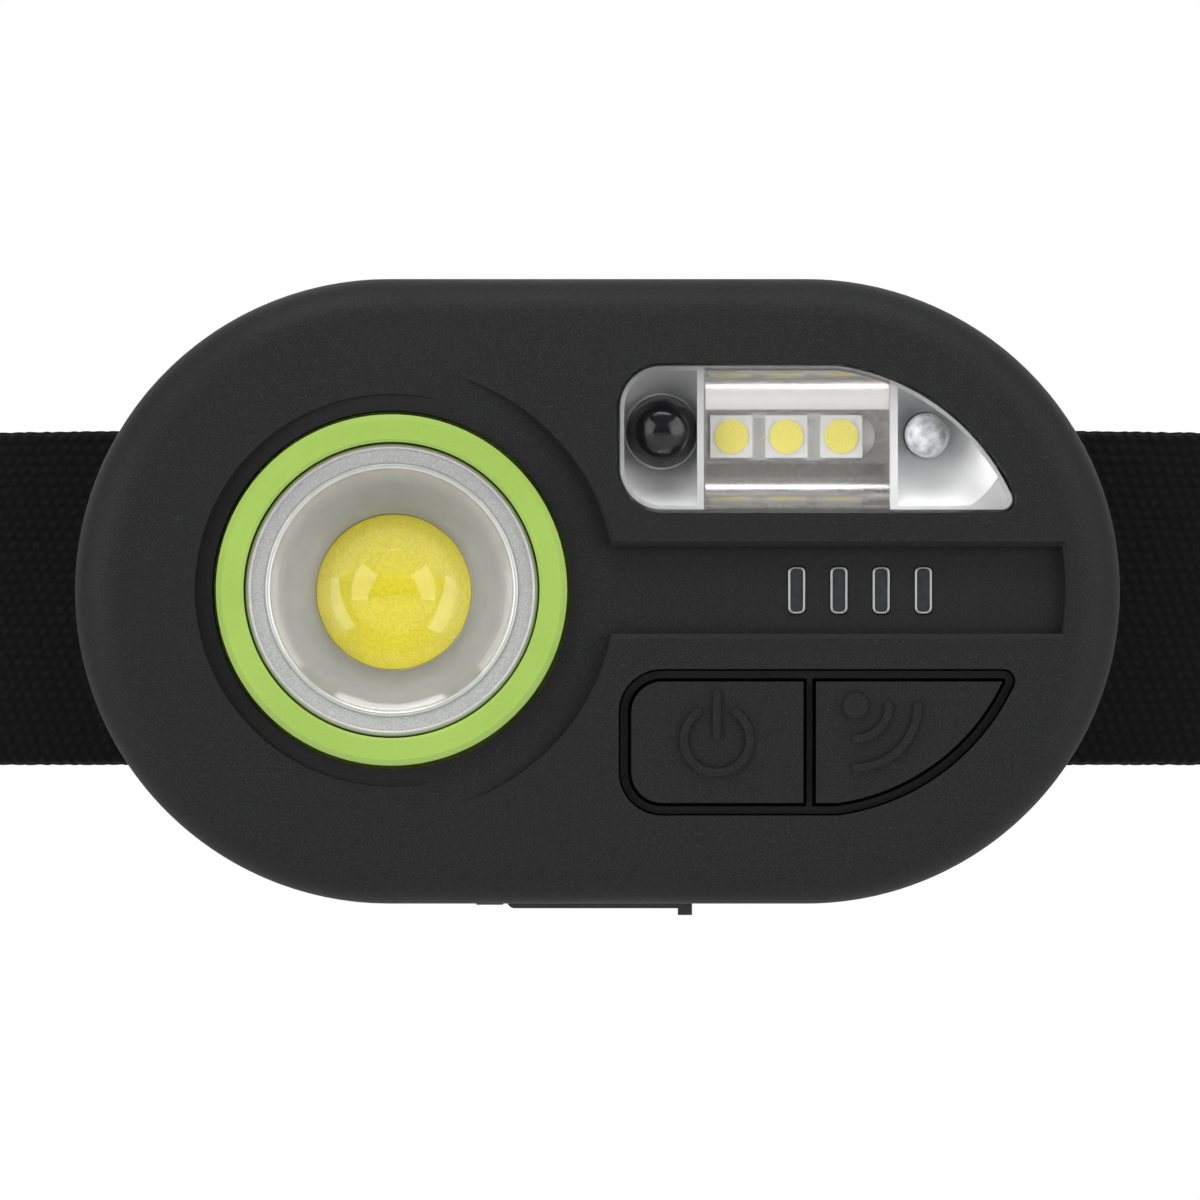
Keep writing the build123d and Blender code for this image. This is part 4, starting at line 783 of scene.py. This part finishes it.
class HEADLAMP_OT_electronics(Operator):
    """Give the boards, switches, battery and leads their finishes"""

    bl_idname = "headlamp.electronics"
    bl_label = "Electronics"

    def execute(self, context):
        give(circuit("main_board", (0.72, 0.72, 0.70), PALE_COPPER), "main_board")
        give(circuit("charge_board", (0.03, 0.16, 0.06), (0.3, 0.35, 0.1)), "charge_board")
        black = moulded(
            "component_black", (0.02, 0.02, 0.02), roughness=0.4, grain=0.1 * MM, depth=0.003 * MM
        )
        switches = ("power_switch", "sensor_switch", "power_switch_plunger", "sensor_switch_plunger")
        give(black, "board_connector", *switches)
        give(moulded("indicator_white", (0.75, 0.75, 0.72), roughness=0.35), "indicator_leds")
        give(metal("pouch_foil", (0.75, 0.75, 0.76), roughness=0.25, grain=0.6 * MM), "battery")
        tape = moulded("foam_tape", (0.03, 0.03, 0.03), roughness=0.9, grain=0.3 * MM, depth=0.05 * MM)
        give(tape, "battery_tape")
        give(moulded("lead_red", (0.35, 0.01, 0.01), roughness=0.45), "battery_leads")
        return {"FINISHED"}


class HEADLAMP_OT_buttons(Operator):
    """Give the buttons and the keypad frame their finishes"""

    bl_idname = "headlamp.buttons"
    bl_label = "Buttons"

    def execute(self, context):
        colour = settings().body_colour
        give(soft_touch("button_touch", shade(colour, 0.95)), "power_button", "sensor_button")
        # The keypad frame lines the groove round the buttons and is made darker than the body: painted
        # shade in the groove.
        give(soft_touch("keypad_painted_shade", shade(colour, 0.7)), "keypad_frame")
        return {"FINISHED"}


class HEADLAMP_OT_light_pipes(Operator):
    """Finish the light pipes and add the bright rim round each one, a painted highlight standing in for the
    light on each pipe's edge
    """

    bl_idname = "headlamp.light_pipes"
    bl_label = "Light Pipes"

    count = 4
    pitch = 3.0 * MM
    half_wide = 0.6 * MM
    half_high = 1.68 * MM
    corner = 0.4 * MM
    rim_lift = 0.05 * MM

    def execute(self, context):
        pipe = moulded(
            "pipe_dark",
            (0.03, 0.031, 0.033),
            roughness=0.15,
            grain=0.4 * MM,
            depth=0.001 * MM,
            speck=0.15,
            coat=0.6,
        )
        give(pipe, "light_pipes")
        leds_low, leds_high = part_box("indicator_leds")
        face_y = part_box("light_pipes")[0].y
        middle = (leds_low.x + leds_high.x) / 2
        build = bmesh.new()
        for index in range(self.count):
            across = middle + (index - (self.count - 1) / 2) * self.pitch
            self.add_highlight_rim(build, Vector((across, face_y, 0.0)), settings().highlight_rim_width)
        mesh = bpy.data.meshes.new("light_pipe_highlight_rims")
        bmesh.ops.recalc_face_normals(build, faces=build.faces)
        build.to_mesh(mesh)
        build.free()
        # Painted highlight: a pale metal rim in place of the light caught on each pipe's edge.
        bright = metal("pipe_rim_highlight", (0.30, 0.30, 0.30), roughness=0.35)
        rims = new_object("light_pipe_highlight_rims", mesh, "lamp", bright)
        return {"FINISHED"}

    def add_highlight_rim(self, build, centre, rim):
        """A thin raised rim just inside one light pipe's outline: a painted highlight of its lit edge."""
        rings = []
        for inset, lift in ((0.0, 0.0), (0.0, self.rim_lift), (rim, self.rim_lift), (rim, 0.0)):
            half_wide, half_high = self.half_wide - inset, self.half_high - inset
            rings.append(rounded_ring(build, centre, half_wide, half_high, self.corner - inset / 2, lift))
        for first, second in zip(rings, rings[1:]):
            bridge(build, first, second)


class HEADLAMP_OT_charging_port(Operator):
    """Give the charging cover, its anchor and the receptacle their finishes"""

    bl_idname = "headlamp.charging_port"
    bl_label = "Charging Port"

    def execute(self, context):
        rubber = moulded(
            "port_rubber", (0.02, 0.02, 0.02), roughness=0.55, grain=0.15 * MM, depth=0.008 * MM
        )
        give(rubber, "usb_cover", "usb_cover_anchor")
        give(metal("receptacle_steel", (0.62, 0.62, 0.63), roughness=0.28), "usb_receptacle")
        return {"FINISHED"}


class HEADLAMP_OT_headband(Operator):
    """Weave the elastic headband along its worn loop"""

    bl_idname = "headlamp.headband"
    bl_label = "Headband"

    segment_count = 1500
    picot_segments = 1.5
    yarn_play = 0.5
    yarn_seed = 11

    def execute(self, context):
        chosen = settings()
        width = BAND_HIGH.z - BAND_LOW.z
        profile = webbing_profile(BAND_THICKNESS, width - 2 * chosen.picot)
        stations = [2 * HALF_LOOP * index / self.segment_count for index in range(self.segment_count)]
        draw = random.Random(self.yarn_seed)
        edge_yarn = [draw.uniform(-self.yarn_play, self.yarn_play) for _ in range(self.segment_count)]
        reach = width / 2 - chosen.picot - BAND_THICKNESS / 2

        def place(station, point):
            """A point of the profile at a station, with the edge yarns standing out and in."""
            middle, outward = band_frame(station)
            index = round(station / (2 * HALF_LOOP) * self.segment_count) % self.segment_count
            height = point[1]
            if abs(height) > reach:
                wave = math.sin(index * math.pi / self.picot_segments) + edge_yarn[index]
                height += math.copysign(chosen.picot * wave / (1 + self.yarn_play), height)
            return middle + outward * point[0] + Vector((0, 0, height))

        mesh = swept_band("headband_webbing", stations, profile, place, True)
        band = new_object("headband_webbing", mesh, "headband", woven("webbing", chosen.webbing_colour))
        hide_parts("head_strap")
        return {"FINISHED"}


def side_point(angle, radius, height):
    """A point near the right-hand side arc, by angle from its middle, radius and height."""
    return SIDE_CENTRE + Vector((radius * cosine(angle), radius * sine(angle), height))


def eased(value):
    """A smooth step from 0 to 1."""
    value = max(0.0, min(1.0, value))
    return value * value * (3 - 2 * value)


# Angles along the side arc, in degrees; a rise or a fall is where it starts and its turn
TAIL_FRONT, TAIL_REAR = -14.0, 7.5
TAIL_RISE = (TAIL_FRONT + 1.08, 1.2)
TAIL_FALL = (4.2, 3.0)
TAIL_FALL_SHARE = 0.75
TAIL_LOW = SIDE_ARC[0] + BAND_THICKNESS + 0.06 * MM
TAIL_RAISED = SIDE_ARC[0] + BAND_THICKNESS + 2.1 * MM


def tail_radius(angle):
    """How far out the tail's middle lies: sewn down in front, raised over the adjuster's travel."""
    rise = eased((angle - TAIL_RISE[0]) / TAIL_RISE[1])
    fall = eased((angle - TAIL_FALL[0]) / TAIL_FALL[1])
    return TAIL_LOW + (TAIL_RAISED - TAIL_LOW) * rise * (1 - TAIL_FALL_SHARE * fall)


class HEADLAMP_OT_strap_tail(Operator):
    """Lay the webbing tail through the adjuster and sew its front end down"""

    bl_idname = "headlamp.strap_tail"
    bl_label = "Strap Tail"

    segment_count = 200
    picot_pitch = 0.75 * MM
    stitch_pitch = 2.0 * MM
    stitch_inset = 1.6 * MM
    stitch_half = 0.65 * MM
    thread_radius = 0.16 * MM
    stitch_lines = (0.35, 1.0)

    def execute(self, context):
        chosen = settings()
        width = BAND_HIGH.z - BAND_LOW.z
        profile = webbing_profile(BAND_THICKNESS, width - 2 * chosen.picot)
        turn = TAIL_REAR - TAIL_FRONT
        length = SIDE_ARC[0] * math.radians(turn)
        stations = [length * index / (self.segment_count - 1) for index in range(self.segment_count)]
        reach = width / 2 - chosen.picot - BAND_THICKNESS / 2

        def place(station, point):
            """A point of the profile at a station along the tail, with the edge yarns standing out."""
            angle = TAIL_FRONT + turn * station / length
            height = point[1]
            if abs(height) > reach:
                wave = math.sin(station / self.picot_pitch * 2 * math.pi)
                height += math.copysign(chosen.picot * wave, height)
            return side_point(angle, tail_radius(angle) + point[0], height)

        mesh = swept_band("tail_webbing", stations, profile, place, False)
        tail = new_object("tail_webbing", mesh, "headband", woven("tail_webbing", chosen.webbing_colour))
        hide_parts("strap_tail")
        self.sew(width)
        return {"FINISHED"}

    def sew(self, width):
        """Two lines of stitches across the sewn end."""
        build = bmesh.new()
        run = width - 2 * self.stitch_inset
        rows = int(run / self.stitch_pitch)
        for line in self.stitch_lines:
            angle = TAIL_FRONT + line
            surface = tail_radius(angle) + BAND_THICKNESS / 2
            for row in range(rows + 1):
                height = -width / 2 + self.stitch_inset + row * run / rows
                start = side_point(angle, surface, height - self.stitch_half)
                end = side_point(angle, surface, height + self.stitch_half)
                stitch(build, start, end, self.thread_radius)
        mesh = bpy.data.meshes.new("tail_stitches")
        build.to_mesh(mesh)
        build.free()
        yarn = knitted("thread", (0.05, 0.05, 0.055), loop=0.2 * MM, depth=0.03 * MM)
        thread = new_object("tail_stitches", mesh, "headband", yarn)


class HEADLAMP_OT_adjuster(Operator):
    """Give the strap adjuster its finish"""

    bl_idname = "headlamp.adjuster"
    bl_label = "Strap Adjuster"

    def execute(self, context):
        nylon = moulded(
            "adjuster_nylon",
            (0.018, 0.018, 0.018),
            roughness=0.42,
            grain=0.25 * MM,
            depth=0.014 * MM,
            speck=0.2,
        )
        give(nylon, "strap_adjuster")
        return {"FINISHED"}


class HEADLAMP_OT_forehead_pad(Operator):
    """Pad the bracket with a crowned, channelled cushion"""

    bl_idname = "headlamp.forehead_pad"
    bl_label = "Forehead Pad"

    curve_radius = 110.0 * MM
    thickness = 3.4 * MM
    corner = 8.0 * MM
    roll = 1.65 * MM
    half_wide = (PAD_HIGH.x - PAD_LOW.x) / 2
    half_high = (PAD_HIGH.z - PAD_LOW.z) / 2
    channels = (-10 * MM, 10 * MM)
    channel_width = 0.7 * MM
    channel_run_out = 4 * MM
    edge_overlap = 0.05 * MM
    weld_distance = 0.16 * MM
    columns = 150
    rows = 70

    def half_width(self, height):
        """Half the pad's width at a height, within its rounded corners."""
        over = abs(height) - (self.half_high - self.corner)
        if over <= 0:
            return self.half_wide
        return self.half_wide - self.corner + math.sqrt(max(0.0, self.corner**2 - over**2))

    def edge_distance(self, x, z):
        """How far a point lies inside the pad's outline."""
        dx = abs(x) - (self.half_wide - self.corner)
        dz = abs(z) - (self.half_high - self.corner)
        outside = math.hypot(max(dx, 0.0), max(dz, 0.0))
        inside = min(max(dx, dz), 0.0)
        return self.corner - outside - inside

    def channel_dip(self, x, edge):
        """How far the sewn channels pull the skin side in, running out towards the pad's edge."""
        dip = 0.0
        for seam in self.channels:
            dip += math.exp(-(((x - seam) / self.channel_width) ** 2))
        return settings().pad_channel * dip * eased(edge / self.channel_run_out)

    def point(self, face, x, z):
        """A point of the skin side (face 0) or the bracket side (face 1), bent to the forehead."""
        edge = max(0.0, self.edge_distance(x, z))
        short = max(0.0, self.roll - edge)
        drop = self.roll - math.sqrt(max(0.0, self.roll**2 - short**2))
        if face == 0:
            reach = self.curve_radius + drop + self.channel_dip(x, edge)
        else:
            reach = self.curve_radius + self.thickness - drop - self.edge_overlap
        angle = math.asin(x / self.curve_radius)
        return reach * math.sin(angle), self.curve_radius - reach * math.cos(angle), z

    def build_mesh(self):
        """The pad's two sides as grids, welded along their rolled edge."""
        verts, faces = [], []
        for face in (0, 1):
            for row in range(self.rows + 1):
                z = self.half_high * math.sin(math.pi / 2 * (2 * row / self.rows - 1))
                wide = self.half_width(z)
                for column in range(self.columns + 1):
                    x = wide * math.sin(math.pi / 2 * (2 * column / self.columns - 1))
                    verts.append(self.point(face, x, z))
        line = self.columns + 1
        for face in (0, 1):
            for row in range(self.rows):
                for column in range(self.columns):
                    first = (face * (self.rows + 1) + row) * line + column
                    faces.append((first, first + 1, first + line + 1, first + line))
        mesh = bpy.data.meshes.new("pad_cushion")
        mesh.from_pydata(verts, [], faces)
        build = bmesh.new()
        build.from_mesh(mesh)
        border = [vert for vert in build.verts if vert.is_boundary]
        bmesh.ops.remove_doubles(build, verts=border, dist=self.weld_distance)
        bmesh.ops.recalc_face_normals(build, faces=build.faces)
        build.to_mesh(mesh)
        build.free()
        return mesh

    def execute(self, context):
        knit = knitted("pad_knit", settings().pad_colour)
        pad = new_object("pad_cushion", self.build_mesh(), "headband", knit)
        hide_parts("forehead_pad")
        return {"FINISHED"}


class HEADLAMP_OT_stage(Operator):
    """Set the pale floor, the soft lights, the surroundings and the camera"""

    bl_idname = "headlamp.stage"
    bl_label = "Stage"

    floor_drop = 115 * MM
    floor_radius = 1.7
    floor_shift = 0.1
    camera_distance = 640 * MM
    camera_side = 0.18 * MM
    camera_height = -12 * MM
    camera_tip = 1.01
    focal_length = 271.0
    white = (1, 1, 1, 1)

    def execute(self, context):
        self.lay_floor()
        self.set_surroundings()
        key = {
            "azimuth": 54,
            "elevation": 10,
            "distance": 0.85,
            "size": (0.80, 0.74),
            "power": 5.5,
            "lean": 20,
        }
        self.soft_light("key_left", side=-1, **key)
        self.soft_light("key_right", side=1, **key)
        self.soft_light("top_light", azimuth=0, elevation=66, distance=0.8, size=(0.7, 0.35), power=5.0)
        self.aim_camera(context.scene)
        context.scene.view_settings.view_transform = "Standard"
        return {"FINISHED"}

    def lay_floor(self):
        """A round pale floor well below the lamp, which hangs as it is worn."""
        height = CAD_BOX[0].z - self.floor_drop
        build = bmesh.new()
        bmesh.ops.create_circle(build, cap_ends=True, segments=96, radius=self.floor_radius)
        bmesh.ops.translate(build, verts=build.verts, vec=(0, self.floor_shift, height))
        mesh = bpy.data.meshes.new("floor")
        build.to_mesh(mesh)
        build.free()
        pale = moulded(
            "pale_floor", (0.82, 0.82, 0.81), roughness=0.7, grain=2 * MM, depth=0.02 * MM, speck=0.01
        )
        floor = new_object("floor", mesh, None, pale, False)

    def set_surroundings(self):
        """A white surround that lights the lamp mostly from behind."""
        world = bpy.data.worlds.new("surround")
        bpy.context.scene.world = world
        world.use_nodes = True
        tree = world.node_tree
        tree.nodes.clear()
        direction = add_node(tree, "ShaderNodeTexCoord").outputs["Generated"]
        parts = add_node(tree, "ShaderNodeSeparateXYZ", {0: direction}).outputs
        behind = spread(tree, parts["Y"], 0.06, 1.0, from_low=-0.1, from_high=0.7)
        above = spread(tree, parts["Z"], 0.35, 1.25, from_low=-0.7, from_high=0.7)
        strength = maths(tree, "MULTIPLY", behind, above)
        lighting = add_node(tree, "ShaderNodeBackground", {"Color": self.white, "Strength": strength})
        seen = add_node(tree, "ShaderNodeBackground", {"Color": self.white, "Strength": 1.0})
        rays = add_node(tree, "ShaderNodeLightPath")
        mixed = add_node(tree, "ShaderNodeMixShader", {0: rays.outputs["Is Camera Ray"]})
        tree.links.new(lighting.outputs[0], mixed.inputs[1])
        tree.links.new(seen.outputs[0], mixed.inputs[2])
        output = add_node(tree, "ShaderNodeOutputWorld")
        tree.links.new(mixed.outputs[0], output.inputs["Surface"])

    def soft_light(self, name, azimuth, elevation, distance, size, power, side=1, lean=0):
        """A rectangular soft light aimed at the lamp's face from in front of it, leaning inward."""
        light = bpy.data.lights.new(name, "AREA")
        light.shape = "RECTANGLE"
        light.size, light.size_y = size
        light.energy = power
        lamp = bpy.data.objects.new(name, light)
        bpy.context.scene.collection.objects.link(lamp)
        level = cosine(elevation)
        away = Vector((side * sine(azimuth) * level, -cosine(azimuth) * level, sine(elevation)))
        lamp.location = Vector((0, FACE_Y, 0)) + away * distance
        lamp.rotation_mode = "QUATERNION"
        leaning = Quaternion((0, 0, 1), side * math.radians(lean))
        lamp.rotation_quaternion = away.to_track_quat("Z", "Y") @ leaning

    def aim_camera(self, scene):
        """A long lens in front of the lamp, level with the band's lower edge and tipped up."""
        data = bpy.data.cameras.new("camera")
        data.sensor_width = 36.0
        data.lens = self.focal_length
        data.clip_start, data.clip_end = 0.05, 20.0
        camera = bpy.data.objects.new("camera", data)
        scene.collection.objects.link(camera)
        camera.location = (self.camera_side, FACE_Y - self.camera_distance, self.camera_height)
        camera.rotation_euler = (math.radians(90 + self.camera_tip), 0, 0)
        scene.camera = camera


OPERATORS = (
    HEADLAMP_OT_stage,
    HEADLAMP_OT_shells,
    HEADLAMP_OT_spot_light,
    HEADLAMP_OT_flood_light,
    HEADLAMP_OT_electronics,
    HEADLAMP_OT_buttons,
    HEADLAMP_OT_light_pipes,
    HEADLAMP_OT_charging_port,
    HEADLAMP_OT_headband,
    HEADLAMP_OT_strap_tail,
    HEADLAMP_OT_adjuster,
    HEADLAMP_OT_forehead_pad,
)


class HEADLAMP_PT_panel(Panel):
    """The headlamp's settings and pieces"""

    bl_idname = "HEADLAMP_PT_panel"
    bl_label = "Headlamp"
    bl_space_type = "VIEW_3D"
    bl_region_type = "UI"
    bl_category = "Headlamp"

    def draw(self, context):
        layout = self.layout
        chosen = context.scene.headlamp_settings
        for name in HeadlampSettings.__annotations__:
            layout.prop(chosen, name)
        for operator in OPERATORS:
            layout.operator(operator.bl_idname)


CLASSES = (HeadlampSettings, *OPERATORS, HEADLAMP_PT_panel)


def register():
    """Registers the classes and the scene's settings."""
    for item in CLASSES:
        bpy.utils.register_class(item)
    bpy.types.Scene.headlamp_settings = PointerProperty(type=HeadlampSettings)


def unregister():
    """Takes the settings and the classes away again."""
    del bpy.types.Scene.headlamp_settings
    for item in reversed(CLASSES):
        bpy.utils.unregister_class(item)


def main():
    """Registers the add-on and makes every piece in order."""
    register()
    for operator in OPERATORS:
        group, name = operator.bl_idname.split(".")
        getattr(getattr(bpy.ops, group), name)()


if __name__ == "__main__":
    main()
